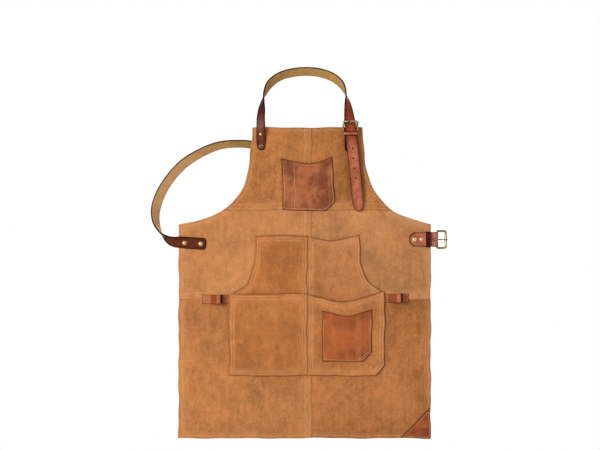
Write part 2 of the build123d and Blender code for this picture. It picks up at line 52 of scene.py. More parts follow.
# ------------------------------------------------------------------ sizes, mm
SUEDE = 2.0
POCKET_LEATHER = 1.5
STRAP_LEATHER = 2.8
TAB_LEATHER = 2.2
KEEPER_LEATHER = 1.4
LEFT_EDGE = -321.0
RIGHT_EDGE = 309.5
WING_TOP = 534.5
BIB_TOP = 777.0
CHEST_SEAM = 569.0
HIP_SEAM = 347.5
CENTRE_LAP = 11.8
LAP = 22.0
POCKET_SPLIT = 1.0
POCKET_LOW = 157.0
STRAP_DEPTH = -3.4
NECK_WIDTH = 28.5
WAIST_WIDTH = 29.5
LOOP_SWELL = 1.0
RIVET_HOLE = 1.7
HOLE_PITCH = 25.0
NECK_HEEL_X = 108.6
FOLD_INSIDE = 2.05
HEEL_HEIGHT = TAB_LEATHER + FOLD_INSIDE

# Steps of the sheets' meshes, and a distance that counts as far away.
EDGE_STEP = 4.0
NO_ROW = 50.0


# ------------------------------------------------------------------ plane curves
def lines(*points):
    """Straight runs between points."""
    return np.array(points, float)


def unit(vectors):
    """Each row brought to length one."""
    return vectors / (np.linalg.norm(vectors, axis=1)[:, None] + 1e-12)


def between(t, t_a, t_b, a, b):
    """The place at time t on the way from a at t_a to b at t_b."""
    return (t_b - t) / (t_b - t_a) * a + (t - t_a) / (t_b - t_a) * b


def curve(*points, step=5.0):
    """A smooth curve through points (centripetal Catmull-Rom)."""
    p = lines(*points)
    p = np.vstack([2 * p[0] - p[1], p, 2 * p[-1] - p[-2]])
    found = []
    for i in range(1, len(p) - 2):
        p0, p1, p2, p3 = p[i - 1:i + 3]
        t1 = np.linalg.norm(p1 - p0) ** 0.5
        t2 = t1 + np.linalg.norm(p2 - p1) ** 0.5
        t3 = t2 + np.linalg.norm(p3 - p2) ** 0.5
        count = max(2, int(np.linalg.norm(p2 - p1) / step) + 1)
        for t in np.linspace(t1, t2, count, endpoint=False):
            a1 = between(t, 0.0, t1, p0, p1)
            a2 = between(t, t1, t2, p1, p2)
            a3 = between(t, t2, t3, p2, p3)
            b1 = between(t, 0.0, t2, a1, a2)
            b2 = between(t, t1, t3, a2, a3)
            found.append(between(t, t1, t2, b1, b2))
    found.append(p[-2])
    return np.array(found)


def join(*runs):
    """Runs joined into one closed outline, counter-clockwise seen from the front."""
    points = []
    for q in np.vstack(runs):
        if not points or np.linalg.norm(points[-1] - q) > 0.05:
            points.append(q)
    if np.linalg.norm(points[0] - points[-1]) < 0.05:
        points.pop()
    points = np.array(points)
    following = np.roll(points, -1, axis=0)
    area = np.sum(points[:, 0] * following[:, 1] - following[:, 0] * points[:, 1])
    return points if area > 0 else points[::-1]


def mirrored(upper):
    """The closed outline of a strip from its upper side, a line of (run, half width)."""
    return join(upper, upper[::-1] * np.array([1, -1]))


def segments(line, closed=True):
    """Start points and end points of a polyline's segments."""
    if closed:
        return line, np.roll(line, -1, axis=0)
    return line[:-1], line[1:]


def even(outline, step):
    """The same closed outline with its long segments divided; corners are kept."""
    found = []
    for a, b in zip(*segments(outline)):
        count = max(1, int(round(np.linalg.norm(b - a) / step)))
        found += [a + (b - a) * k / count for k in range(count)]
    return np.array(found)


def run_length(path):
    """Length along a polyline at each of its points."""
    return np.concatenate([[0], np.cumsum(np.linalg.norm(np.diff(path, axis=0), axis=1))])


def sample(at, run, values):
    """Rows of values that are known along run, read off at other lengths."""
    return np.stack([np.interp(at, run, column) for column in values.T], axis=1)


def spaced(path, step):
    """Points at equal steps along an open polyline."""
    run = run_length(path)
    return sample(np.linspace(0, run[-1], max(2, int(run[-1] / step) + 1)), run, path)


def gap_to(points, p, q):
    """Distance from each point to the segment from p to q."""
    d = q - p
    t = np.clip(((points - p) @ d) / max(d @ d, 1e-12), 0, 1)
    return np.linalg.norm(points - p - t[:, None] * d, axis=1)


def distance_to(points, line, closed=True):
    """Shortest distance from each point to a polyline."""
    best = np.full(len(points), 1e9)
    for p, q in zip(*segments(line, closed)):
        best = np.minimum(best, gap_to(points, p, q))
    return best


def inside(points, outline):
    """Whether each point lies inside a closed outline."""
    x, z = points[:, 0], points[:, 1]
    state = np.zeros(len(points), bool)
    for (x1, z1), (x2, z2) in zip(*segments(outline)):
        if z1 != z2:
            state ^= ((z1 > z) != (z2 > z)) & (x < (x2 - x1) * (z - z1) / (z2 - z1) + x1)
    return state


def outward(outline):
    """Unit normals pointing out of a counter-clockwise outline, one for each segment."""
    start, end = segments(outline)
    way = unit(end - start)
    return np.stack([way[:, 1], -way[:, 0]], axis=1)


def inset(outline, depth):
    """The outline moved inwards; points that end up too close to an edge are dropped."""
    behind = -np.roll(outward(outline), 1, axis=0)
    n = unit(behind - outward(outline))
    lean = np.clip(np.sum(n * behind, axis=1), 0.45, 1)
    moved = outline + n * (depth / lean)[:, None]
    return moved[(distance_to(moved, outline) > depth * 0.97) & inside(moved, outline)]


def beside(outline, depth):
    """Points a set distance outside an outline."""
    edge = even(outline, EDGE_STEP)
    n = outward(edge)
    moved = edge + unit(n + np.roll(n, 1, axis=0)) * depth
    return moved[distance_to(moved, outline) > depth * 0.9]


def ease(t):
    """0 below 0, 1 above 1, smooth between."""
    t = np.clip(t, 0, 1)
    return t * t * (3 - 2 * t)


# ------------------------------------------------------------------ how the leather hangs
def drape(x, z):
    """Depth of the hanging leather's slow waves: none at the bib, more towards the hem."""
    waves = 2.4 * np.sin(x / 74 + 0.6) + 1.5 * np.sin(x / 41 - z / 160 + 2.0) - 0.6
    return ease((470 - z) / 420) * waves


def sway(x, z):
    """Small sideways and upright wandering of cut edges, none where the waist straps are riveted on."""
    calm = ease((z - 430) / 60) * ease((620 - z) / 60) * ease((np.abs(x) - 200) / 40)
    dx = 0.9 * np.sin(z / 23 + x / 150) + 0.7 * np.sin(z / 9.7 + 1.3 + x / 90)
    dz = 0.8 * np.sin(x / 31 + z / 170 + 0.4) + 0.5 * np.sin(x / 12.5 + z / 80)
    return dx * (1 - calm), dz * (1 - calm)


# ------------------------------------------------------------------ meshes
def mesh_object(name, verts, faces, material, slot, **attributes):
    """A smooth object; every point also keeps its place at rest, for the material."""
    mesh = bpy.data.meshes.new(name)
    mesh.from_pydata(verts.tolist(), [], faces)
    layer = mesh.attributes.new("rest", "FLOAT_VECTOR", "POINT")
    layer.data.foreach_set("vector", np.asarray(verts, np.float32).ravel())
    for key, values in attributes.items():
        layer = mesh.attributes.new(key, "FLOAT", "POINT")
        layer.data.foreach_set("value", np.asarray(values, np.float32))
    mesh.polygons.foreach_set("use_smooth", [True] * len(mesh.polygons))
    mesh.materials.append(material)
    obj = bpy.data.objects.new(name, mesh)
    bpy.context.scene.collection.objects.link(obj)
    return obj


def face_along(obj, index, way):
    """Turns the faces over if the one with this index looks against way."""
    if obj.data.polygons[index].normal.dot(Vector(way)) < 0:
        obj.data.flip_normals()


def ring_faces(count, size, closed=True):
    """Four-sided faces between neighbouring rings of size points."""
    faces = []
    for r in range(count if closed else count - 1):
        q = (r + 1) % count
        for k in range(size):
            n = (k + 1) % size
            faces.append((r * size + k, r * size + n, q * size + n, q * size + k))
    return faces


def grid_inside(outline, pitch):
    """Staggered grid points inside an outline."""
    low, high = outline.min(0), outline.max(0)
    x, z = np.meshgrid(np.arange(low[0], high[0], pitch), np.arange(low[1], high[1], pitch))
    x = x + (np.arange(x.shape[0]) % 2)[:, None] * pitch / 2
    field = np.stack([x.ravel(), z.ravel()], axis=1)
    return field[inside(field, outline)]


def triangulate(loops, inner, holes=()):
    """Points and triangles between closed loops, the outline first, without the holes."""
    borders = []
    for loop in loops:
        base = len(borders)
        borders += [(base + i, base + (i + 1) % len(loop)) for i in range(len(loop))]
    points = [Vector(p) for p in np.vstack(loops + [inner])]
    flat, _, triangles, _, _, _ = delaunay_2d_cdt(points, borders, [], 1, 1e-4)
    flat = np.array([tuple(v) for v in flat])
    triangles = np.array([list(t) for t in triangles])
    for hole in holes:
        triangles = triangles[~inside(flat[triangles].mean(1), hole)]
    used = np.unique(triangles)
    number = np.zeros(len(flat), int)
    number[used] = np.arange(len(used))
    return flat[used], number[triangles]


def rounded(depth, reach):
    """Share of the full thickness at a depth inside a round edge."""
    return np.sqrt(1 - (1 - np.clip(depth / reach, 0, 1)) ** 2)


def shell(front, rear, edge_gap, triangles):
    """Two faces that share their rim.

    Gives points, faces, the flat point that each point comes from, and 1 for the front, -1 for the rear.
    """
    count = len(front)
    own = np.nonzero(edge_gap >= 0.02)[0]
    twin = np.arange(count)
    twin[own] = count + np.arange(len(own))
    verts = np.vstack([front, rear[own]]) * MM
    faces = np.vstack([triangles, twin[triangles[:, ::-1]]]).tolist()
    take = np.concatenate([np.arange(count), own])
    return verts, faces, take, np.where(np.arange(len(take)) < count, 1.0, -1.0)


def cover_shade(points, outline):
    """Painted shade on leather just outside a piece sewn over it: most above and to the right."""
    best = np.full(len(points), 1e9)
    weight = np.zeros(len(points))
    for p, q, n in zip(*segments(outline), outward(outline)):
        gap = gap_to(points, p, q)
        nearer = gap < best
        best[nearer] = gap[nearer]
        weight[nearer] = min(1.0, 0.30 + 0.62 * max(0.0, n[0]) + 0.50 * max(0.0, n[1]))
    return np.where(inside(points, outline), weight, weight * (1 - ease(best / 3.4)))


def leather_sheet(name, outline, back, thickness, relief, material, slot, rows, covers, grid):
    """A cut piece of leather: rounded edges, real thickness, slow waves, sewn grooves.

    back(x, z) is the depth of its back face, relief(x, z, edge) lifts its front face,
    rows are the stitch lines on it and covers the outlines of pieces sewn over it.
    """
    edge = even(outline, EDGE_STEP)
    cloud = [inset(edge, depth) for depth in (0.35, 1.0, 2.6)]
    for row in rows:
        path = spaced(row, EDGE_STEP)
        way = np.gradient(path, axis=0)
        aside = unit(np.stack([-way[:, 1], way[:, 0]], axis=1)) * 1.8
        cloud += [path, path + aside, path - aside]
    for cover in covers:
        cloud += [beside(cover, gap) for gap in (0.4, 1.6, 3.2)]
    field = grid_inside(outline, grid)
    field = field[distance_to(field, outline) > 4.2]
    for row in rows:
        field = field[distance_to(field, row, False) > 3.6]
    for cover in covers:
        field = field[distance_to(field, cover) > 4.5]
    inner = np.vstack(cloud + [field])
    inner = inner[inside(inner, outline)]
    inner = inner[distance_to(inner, outline) > 0.3]
    flat, triangles = triangulate([edge], inner)
    x, z = flat.T
    depth = distance_to(flat, outline)
    share = rounded(depth, thickness / 2)
    middle = back(x, z) + drape(x, z) - thickness / 2
    dx, dz = sway(x, z)
    front = np.stack([x + dx, middle - (thickness / 2 + relief(x, z, depth)) * share, z + dz], axis=1)
    rear = np.stack([x + dx, middle + thickness / 2 * share, z + dz], axis=1)
    verts, faces, take, side = shell(front, rear, depth, triangles)
    near_row = np.full(len(x), NO_ROW)
    for row in rows:
        near_row = np.minimum(near_row, distance_to(flat, row, False))
    # Painted shade just outside the pieces sewn over this one.
    shaded = np.zeros(len(x))
    for cover in covers:
        shaded = np.maximum(shaded, cover_shade(flat, cover))
    near_row, seen = near_row[take], side > 0
    return mesh_object(name, verts, faces, material, slot, edge_mm=depth[take], row_mm=near_row,
                       worn=np.exp(-(near_row / 6.0) ** 2) * seen, covered=shaded[take] * seen)


def thread_template():
    """One stitch along X: a six-sided capsule, sinking at both ends.

    Its points are (along, across, out, sink).
    """
    verts = []
    for along, size, sink in ((-0.5, 0.35, 0.9), (-0.32, 0.95, 0.15), (0.0, 1.1, 0.0), (0.32, 0.95, 0.15),
                              (0.5, 0.35, 0.9)):
        for k in range(6):
            angle = math.pi / 3 * k
            verts.append((along, math.cos(angle) * size, math.sin(angle) * size, sink))
    faces = ring_faces(5, 6, closed=False)
    return np.array(verts), faces + [tuple(range(5, -1, -1)), tuple(range(24, 30))]


THREAD, THREAD_FACES = thread_template()


def stitches(name, rows, material, slot, pitch=4.8, length=3.9, radius=0.55):
    """Rows of sewn stitches.  Each row is (polyline, depth function, facing), facing -1 to the front."""
    verts, faces = [], []
    for path, depth, facing in rows:
        at = spaced(path, pitch)
        x, z = (at[:-1] + at[1:]).T / 2
        y = depth(x, z) + drape(x, z)
        dx, dz = sway(x, z)
        for i, (ux, uz) in enumerate(unit(at[1:] - at[:-1])):
            along = THREAD[:, 0] * length
            across = THREAD[:, 1] * radius + RANDOM.normal(0, 0.05)
            out = THREAD[:, 2] * radius * 0.8 - THREAD[:, 3] * radius + radius * 0.25
            start = len(verts) * len(THREAD)
            verts.append(np.stack([x[i] + dx[i] + along * ux - across * uz, y[i] + facing * out,
                                   z[i] + dz[i] + along * uz + across * ux], axis=1))
            faces += [[start + k for k in face[::-facing]] for face in THREAD_FACES]
    return mesh_object(name, np.vstack(verts) * MM, faces, material, slot)


# ------------------------------------------------------------------ straps
# Frames of a strap are four arrays: run length, middle line, grain normal and direction across.
def frames_of(at, path, normal):
    """Frames with the grain normal made square to the path."""
    tangent = unit(np.gradient(path, at, axis=0))
    normal = unit(normal - np.sum(normal * tangent, axis=1)[:, None] * tangent)
    return at, path, normal, np.cross(normal, tangent)


def strap_frames(points, normals):
    """Even stations along a smooth path, with the grain normal eased from point to point."""
    path = curve(*points, step=2.0)
    run = run_length(path)
    at = np.linspace(0, run[-1], int(run[-1] / 2.0) + 1)
    marks = np.array([run[np.argmin(np.linalg.norm(path - p, axis=1))] for p in lines(*points)])
    marks[0], marks[-1] = 0, run[-1]
    normal = sample(at, marks, unit(lines(*normals)))
    for _ in range(3):
        padded = np.vstack([normal[:1], normal, normal[-1:]])
        normal = (padded[:-2] + 2 * padded[1:-1] + padded[2:]) / 4
    return frames_of(at, sample(at, run, path), normal)


def run_to(frames, test):
    """Run length of the first station where test(place) is true."""
    for s, place in zip(frames[0], frames[1]):
        if test(place):
            return s
    return frames[0][-1]


def band_loop(name, path, normals, width_way, width, material, slot):
    """A closed band of leather with rounded edges, such as a keeper."""
    columns = (-1.0, -0.92, -0.6, 0.0, 0.6, 0.92, 1.0)
    section = [(c, 0.62 if abs(c) == 1 else 1.0) for c in columns]
    section += [(c, -lift) for c, lift in reversed(section)]
    verts, side, edge = [], [], []
    for place, normal in zip(path, normals):
        for c, lift in section:
            verts.append(place + width_way * c * width / 2 + normal * lift * KEEPER_LEATHER / 2)
            side.append(math.copysign(0.4 if abs(c) == 1 else 1.0, lift))
            edge.append((1 - abs(c)) * width / 2)
    obj = mesh_object(name, np.array(verts) * MM, ring_faces(len(path), len(section)), material, slot,
                      side=side, edge_mm=edge, along=np.zeros(len(side)))
    face_along(obj, 3, normals[0])
    return obj


def strap_sheet(name, frames, outline, holes, thickness, material, slot="strap_leather", grid=5.0,
                edge_step=3.0, rings=(0.3, 0.9, 2.0, 3.2), round_edge=1.0, shift=None):
    """A piece cut from flat leather and bent along its frames.

    outline and holes are closed lines of (run along, offset across), in mm;
    thickness is a number or a function of the run.
    """
    at, centre, normal, across = frames
    edge = even(outline, edge_step)
    field = grid_inside(outline, grid)
    cloud = [inset(edge, depth) for depth in rings]
    cloud.append(field[distance_to(field, outline) > rings[-1] + grid * 0.4])
    for hole in holes:
        away = unit(hole - hole.mean(0))
        cloud += [hole + away * 0.35, hole + away * 0.9]
    inner = np.vstack(cloud)
    inner = inner[inside(inner, outline)]
    inner = inner[distance_to(inner, outline) > 0.25]
    for hole in holes:
        inner = inner[~inside(inner, hole) & (distance_to(inner, hole) > 0.25)]
    flat, triangles = triangulate([edge] + [even(hole, 1.0) for hole in holes], inner, holes)
    s, v = flat.T
    depth = distance_to(flat, outline)
    edge_gap = np.min([depth] + [distance_to(flat, hole) for hole in holes], axis=0)
    share = rounded(edge_gap, round_edge)
    up = sample(s, at, normal)
    place = sample(s, at, centre) + sample(s, at, across) * v[:, None]
    if shift:
        place = place + shift(place)
    half_thick = (thickness(s) if callable(thickness) else thickness) / 2
    reach = up * (share * half_thick)[:, None]
    verts, faces, take, side = shell(place + reach, place - reach, edge_gap, triangles)
    obj = mesh_object(name, verts, faces, material, slot, side=share[take] * side, edge_mm=depth[take],
                      row_mm=np.full(len(take), NO_ROW), along=s[take] * MM)
    face_along(obj, 0, up[triangles[0][0]])
    return obj


def circle(centre, radius, count=18, long=0.0):
    """A closed round or slot-shaped line; long is the straight part along the run."""
    found = []
    for k in range(count):
        c, s = math.cos(2 * math.pi * k / count), math.sin(2 * math.pi * k / count)
        stretch = math.copysign(long / 2, c) if abs(c) > 1e-6 else 0.0
        found.append((centre[0] + c * radius + stretch, centre[1] + s * radius))
    return np.array(found)


# ------------------------------------------------------------------ materials
class Nodes:
    """A short way to write a material's node tree."""

    def __init__(self, name):
        self.material = bpy.data.materials.new(name)
        self.material.use_nodes = True
        self.tree = self.material.node_tree
        self.tree.nodes.clear()
        self.shader = self.tree.nodes.new("ShaderNodeBsdfPrincipled")
        self.node("OutputMaterial", None, Surface=self.shader.outputs[0])

    def put(self, socket, value):
        """Links an output to an input, or sets the input's value; a colour may lack its alpha."""
        if hasattr(value, "is_output"):
            self.tree.links.new(value, socket)
        elif isinstance(value, tuple) and len(value) == 3 and socket.type == "RGBA":
            socket.default_value = (*value, 1.0)
        else:
            socket.default_value = value

    def node(self, kind, output, settings=(), **inputs):
        """A new node; an input called _N is the one with number N."""
        node = self.tree.nodes.new("ShaderNode" + kind)
        for key, value in settings:
            setattr(node, key, value)
        for key, value in inputs.items():
            self.put(node.inputs[int(key[1:]) if key[0] == "_" else key.replace("_", " ")], value)
        return None if output is None else node.outputs[output]

    def set(self, **inputs):
        for key, value in inputs.items():
            self.put(self.shader.inputs[key.replace("_", " ")], value)

    def attribute(self, name, output="Fac"):
        return self.node("Attribute", output, [("attribute_name", name)])

    def place(self, scale=(1, 1, 1), turn=0.0):
        """The place at rest, stretched, then turned in the front view."""
        return self.node("Mapping", 0, Vector=self.attribute("rest", "Vector"), Scale=scale,
                         Rotation=(0, turn, 0))

    def noise(self, scale, detail=4.0, rough=0.55, twist=0.0, at=None):
        if at is None:
            at = self.attribute("rest", "Vector")
        return self.node("TexNoise", "Fac", Vector=at, Scale=scale, Detail=detail, Roughness=rough,
                         Distortion=twist)

    def math(self, kind, a, b=0.0, clamp=False):
        return self.node("Math", 0, [("operation", kind), ("use_clamp", clamp)], _0=a, _1=b)

    def total(self, *terms):
        """The sum of (value, weight) pairs."""
        total = None
        for value, weight in terms:
            term = self.math("MULTIPLY", value, weight)
            total = term if total is None else self.math("ADD", total, term)
        return total

    def span(self, value, low, high, to_low=0.0, to_high=1.0):
        """value between low and high, smoothly mapped to to_low and to_high."""
        return self.node("MapRange", 0, [("interpolation_type", "SMOOTHSTEP")], Value=value, From_Min=low,
                         From_Max=high, To_Min=to_low, To_Max=to_high)

    def near(self, name, low, high):
        """1 where an attribute is under low, 0 where it is over high."""
        return self.span(self.attribute(name), low, high, 1.0, 0.0)

    def mix(self, share, a, b, kind="MIX"):
        return self.node("Mix", 2, [("data_type", "RGBA"), ("blend_type", kind)], _0=share, _6=a, _7=b)

    def times(self, colour, *factors):
        return self.mix(1.0, colour, factors, "MULTIPLY")

    # Mixes in a colour by share times strength: real stains and wear, and painted shade and highlights too.
    def stain_and_painted_light(self, colour, share, strength, stain_and_painted_light):
        return self.mix(self.math("MULTIPLY", share, strength), colour, stain_and_painted_light)

    def along(self, stops):
        """The colour along a strap: stops are (start of change, end of change, colour), in metres."""
        colour = stops[0][2]
        for start, end, following in stops[1:]:
            colour = self.mix(self.span(self.attribute("along"), start, end), colour, following)
        return colour

    def bump(self, height, strength, distance, **base):
        return self.node("Bump", 0, Strength=strength, Distance=distance, Height=height, **base)


def linear(r, g, b):
    """A display colour, 0 to 255, as scene-linear values."""
    shares = (c / 255 for c in (r, g, b))
    return tuple(c / 12.92 if c <= 0.04045 else ((c + 0.055) / 1.055) ** 2.4 for c in shares)


def shade(colour, *factors):
    """The colour times one factor, or times one factor each for red, green and blue."""
    factors = factors if len(factors) == 3 else factors * 3
    return tuple(min(1.0, c * factor) for c, factor in zip(colour, factors))


def suede_material(name, colour, seed, rim_dark=0.2, mottle=1.0):
    """Napped split leather: cloudy, brushed, paler where seams and borders are worn, and darker towards the
    top of the bib and the hem; painted shade lies in its sewn grooves, beside pieces sewn over it and on its
    cut edges, which are also a darker colour of their own.
    """
    n = Nodes(name)
    shifted = n.place(turn=seed * 0.7)
    cloud = n.noise(11, 5, 0.6, 0.35, shifted)
    patch = n.noise(38, 6, 0.62, 0.5, shifted)
    blotch = n.noise(85, 5, 0.6, 0.8, shifted)
    brushed = n.noise(26, 5, 0.6, 0.2, n.place((3.2, 3.2, 0.8), 0.25 + seed))
    fuzz = n.noise(620, 3, 0.7)
    fine = n.noise(1900, 2, 0.6)
    speck = n.noise(230, 4, 0.7, 0.3)
    broad = n.math("SUBTRACT", n.noise(4.2, 3, 0.5, 0.4, shifted), 0.5)
    tone = n.total((cloud, 0.28), (patch, 0.20), (blotch, 0.18), (brushed, 0.20), (speck, 0.26), (fuzz, 0.08),
                   (broad, 0.45))
    contrast = 0.16 / mottle
    body = n.mix(n.span(tone, 0.60 - contrast, 0.60 + contrast), shade(colour, 0.62),
                 shade(colour, 1.34, 1.40, 1.52))
    worn = n.math("MULTIPLY", n.attribute("worn"), n.span(patch, 0.30, 0.72, 0.25, 0.85))
    body = n.stain_and_painted_light(body, worn, 0.66, shade(colour, 1.42, 1.60, 1.90))
    # Painted shade in the sewn grooves.
    body = n.stain_and_painted_light(body, n.near("row_mm", 0.3, 1.6), 0.10, shade(colour, 0.60))
    # Darker towards the top of the bib and towards the hem.
    height = n.node("SeparateXYZ", "Z", _0=n.attribute("rest", "Vector"))
    darker_top_and_hem = n.math("ADD", n.span(height, 0.62, 0.76), n.span(height, 0.02, 0.24, 0.6, 0.0))
    body = n.stain_and_painted_light(body, darker_top_and_hem, 0.15, shade(colour, 0.30))
    # Painted shade just outside the pieces sewn over the suede.
    body = n.stain_and_painted_light(body, n.attribute("covered"), 0.76, shade(colour, 0.24))
    # Cut edges darker: partly their own colour, partly painted shade, strongest on the right-hand pockets.
    body = n.stain_and_painted_light(body, n.near("edge_mm", 0.2, 1.7), rim_dark, shade(colour, 0.42))
    n.set(Base_Color=body, Roughness=n.span(fuzz, 0.2, 0.8, 0.88, 1.0), Specular_IOR_Level=0.16,
          Sheen_Weight=0.22, Sheen_Roughness=0.55, Sheen_Tint=shade(colour, 1.5))
    low = n.bump(n.total((fuzz, 0.30), (fine, 0.10), (blotch, 0.9), (patch, 1.3)), 0.55, 0.0009)
    n.set(Normal=n.bump(n.span(n.attribute("row_mm"), 0.2, 3.2), 0.9, 0.0011, Normal=low))
    return n.material


def smooth_leather_material(name, colour, seed, gloss=0.50, cloudy=1.0, sheen_streak_share=0.0, stops=()):
    """Waxed brown leather that pulls up paler clouds, with fine creases and soft upright streaks of painted
    highlight.

    stops are (start of change, end of change, colour), in metres along a strip.
    """
    n = Nodes(name)
    shifted = n.place(turn=seed)
    cloud = n.noise(15, 3, 0.5, 0.6, shifted)
    patch = n.noise(48, 5, 0.55, 0.7, shifted)
    cells = n.node("TexVoronoi", "Distance", [("feature", "DISTANCE_TO_EDGE")], Vector=n.place((1, 1, 1.5)),
                   Scale=150)
    pore = n.noise(900, 3, 0.6)
    scuff = n.span(n.noise(30, 7, 0.72, 2.2, n.place((1, 1, 2.6), 0.5 + seed)), 0.56, 0.70)
    # Painted highlight: soft upright pale streaks.
    sheen_streak = n.span(n.noise(62, 3, 0.5, 0.3, n.place((1, 1, 0.16), 0.12)), 0.50, 0.72)
    tone = n.total((cloud, 0.68), (patch, 0.32))
    contrast = 0.14 / cloudy
    body = n.mix(n.span(tone, 0.50 - contrast, 0.50 + contrast), shade(colour, 0.62),
                 shade(colour, 1.32, 1.46, 1.55))
    # Pale colour of the pulled-up wax, also used for the painted highlight streaks.
    pale_wax_and_sheen = shade(colour, 1.65, 2.3, 3.1)
    body = n.stain_and_painted_light(body, scuff, 0.22, pale_wax_and_sheen)
    body = n.stain_and_painted_light(body, sheen_streak, sheen_streak_share, pale_wax_and_sheen)
    for start, end, following in stops:
        tinted = n.mix(n.span(tone, 0.36, 0.64), shade(following, 0.74), shade(following, 1.2))
        body = n.mix(n.span(n.attribute("along"), start, end), body, tinted)
    body = n.stain_and_painted_light(body, n.near("edge_mm", 0.4, 1.9), 0.85, shade(colour, 0.16))
    n.set(Base_Color=body, Roughness=n.span(patch, 0.3, 0.7, gloss - 0.08, gloss + 0.16),
          Specular_IOR_Level=0.22)
    crease = n.span(cells, 0.0, 0.10, 1.0, 0.0)
    low = n.bump(n.total((crease, -0.25), (pore, 0.25), (patch, 1.6), (cloud, 2.4)), 0.5, 0.0011)
    n.set(Normal=n.bump(n.span(n.attribute("row_mm"), 0.2, 2.0), 0.8, 0.0007, Normal=low))
    return n.material


def strap_material(name, stops, flesh_stops, gloss=0.42, worn=0.15, middle=(3.0, 11.0),
                   edge=(0.66, 0.60, 0.58)):
    """Bridle leather: glossy grain side, fibrous tan flesh side, nearly black burnished edges.

    Stops are (start of change, end of change, colour), in metres along the strap.
    The grain side is made paler in the middle by the share worn, partly wear and partly a painted highlight,
    and its border is tinted by edge.
    """
    n = Nodes(name)
    side = n.attribute("side")
    edge_mm = n.attribute("edge_mm")
    colour, flesh = n.along(stops), n.along(flesh_stops)
    cloud = n.noise(42, 5, 0.6, 0.6)
    patch = n.noise(160, 5, 0.65, 0.8)
    pore = n.noise(1100, 3, 0.6)
    fibre = n.noise(420, 4, 0.7, 0.5)
    tone = n.total((cloud, 0.6), (patch, 0.4))
    grain = n.mix(n.span(tone, 0.36, 0.62), n.times(colour, 0.58, 0.52, 0.50), colour)
    # A paler middle: partly wear, partly a painted highlight.
    worn_and_highlight = n.mix(worn, grain, n.times(grain, 1.9, 1.85, 1.8))
    edged = n.mix(n.span(n.attribute("along"), 0.50, 0.56, 1.0, 0.35), grain, n.times(grain, *edge))
    grain = n.mix(n.span(edge_mm, *middle), edged, worn_and_highlight)
    flesh_tone = n.total((fibre, 0.5), (cloud, 0.5))
    tan = n.mix(n.span(flesh_tone, 0.32, 0.70), n.times(flesh, 0.80, 0.78, 0.76),
                n.times(flesh, 1.15, 1.15, 1.15))
    is_flesh = n.span(side, -0.55, -0.35, 1.0, 0.0)
    body = n.mix(is_flesh, grain, tan)
    crease = n.span(n.math("ABSOLUTE", n.math("SUBTRACT", edge_mm, 2.6)), 0.15, 0.6, 1.0, 0.0)
    crease = n.math("MULTIPLY", crease, n.math("SUBTRACT", 1.0, is_flesh))
    body = n.stain_and_painted_light(body, crease, 0.35, shade(stops[0][2], 0.4))
    core = n.span(n.math("ABSOLUTE", side), 0.55, 0.9, 1.0, 0.0)
    rim = n.math("MAXIMUM", n.near("edge_mm", 0.7, 2.2), core)
    body = n.stain_and_painted_light(body, rim, 0.93, linear(40, 18, 10))
    dull = n.math("MAXIMUM", is_flesh, rim)
    n.set(Base_Color=body, Roughness=n.mix(dull, (gloss,) * 3, (0.92,) * 3),
          Specular_IOR_Level=n.mix(dull, (0.18,) * 3, (0.04,) * 3))
    height = n.total((pore, 0.3), (patch, 1.3), (n.math("MULTIPLY", fibre, is_flesh), 1.6))
    low = n.bump(height, 0.45, 0.0007)
    n.set(Normal=n.bump(n.math("MULTIPLY", crease, -1.0), 0.6, 0.0004, Normal=low))
    return n.material


def brass_material(name, colour, patina, rough=0.30, worn=0.0):
    """Antique brass: dark patina in clouds, bright where rubbing wears it, and painted shade that gives it
    the patina colour where its surface turns away from the camera; worn moves the balance to patina.
    """
    n = Nodes(name)
    at = n.node("TexCoord", "Object")
    cloud = n.noise(95, 4, 0.55, 0.6, at)
    fine = n.noise(900, 4, 0.7, 0.3, at)
    bright = n.span(n.node("NewGeometry", "Pointiness"), 0.47, 0.56)
    tone = n.total((cloud, 0.7), (fine, 0.3))
    share = n.math("ADD", n.span(tone, 0.42 + worn, 0.56 + worn), n.math("MULTIPLY", bright, 0.25), True)
    # Painted shade: where the surface turns away from the camera the brass takes its dark patina colour.
    turned = n.node("LayerWeight", "Facing", Blend=0.5)
    share = n.math("MULTIPLY", share, n.span(turned, 0.30, 0.72, 1.0, 0.15))
    n.set(Base_Color=n.mix(share, patina, colour), Metallic=n.span(share, 0.0, 1.0, 0.86, 1.0),
          Roughness=n.span(fine, 0.3, 0.7, rough - 0.06, rough + 0.14), Normal=n.bump(fine, 0.25, 0.0002))
    return n.material


def thread_material(name, colour):
    """Waxed linen thread with a fine twist."""
    n = Nodes(name)
    body = n.mix(n.span(n.noise(70, 3, 0.6), 0.35, 0.65), shade(colour, 0.80), shade(colour, 1.15))
    n.set(Base_Color=body, Roughness=0.75, Normal=n.bump(n.noise(2400, 2, 0.6), 0.5, 0.0003))
    return n.material


def floor_material():
    n = Nodes("studio_floor")
    tone = n.noise(3, 4, 0.5, 0.0, n.node("TexCoord", "Object"))
    n.set(Base_Color=n.mix(tone, (0.80, 0.80, 0.79), (0.86, 0.86, 0.85)), Roughness=0.9)
    return n.material


FLESH = ((0, 0, linear(188, 144, 86)),)
WAIST_FLESH = ((0, 0, linear(230, 180, 122)), (0.24, 0.52, linear(172, 132, 76)))
NECK_STOPS = ((0, 0, linear(128, 62, 38)), (0.05, 0.12, linear(64, 24, 11)),
              (0.36, 0.42, linear(180, 80, 46)), (0.50, 0.54, linear(206, 118, 84)))
WAIST_STOPS = ((0, 0, linear(108, 41, 17)), (0.10, 0.4, linear(130, 62, 38)))
# The fold block, then a painted highlight as a pale band just past the fold (0.074 to 0.083 m), then the
# front layer's own colours.
WAIST_TAB_STOPS = ((0, 0, linear(178, 88, 62)), (0.074, 0.079, linear(192, 116, 92)),
                   (0.083, 0.091, linear(166, 76, 52)), (0.098, 0.104, linear(198, 108, 80)))

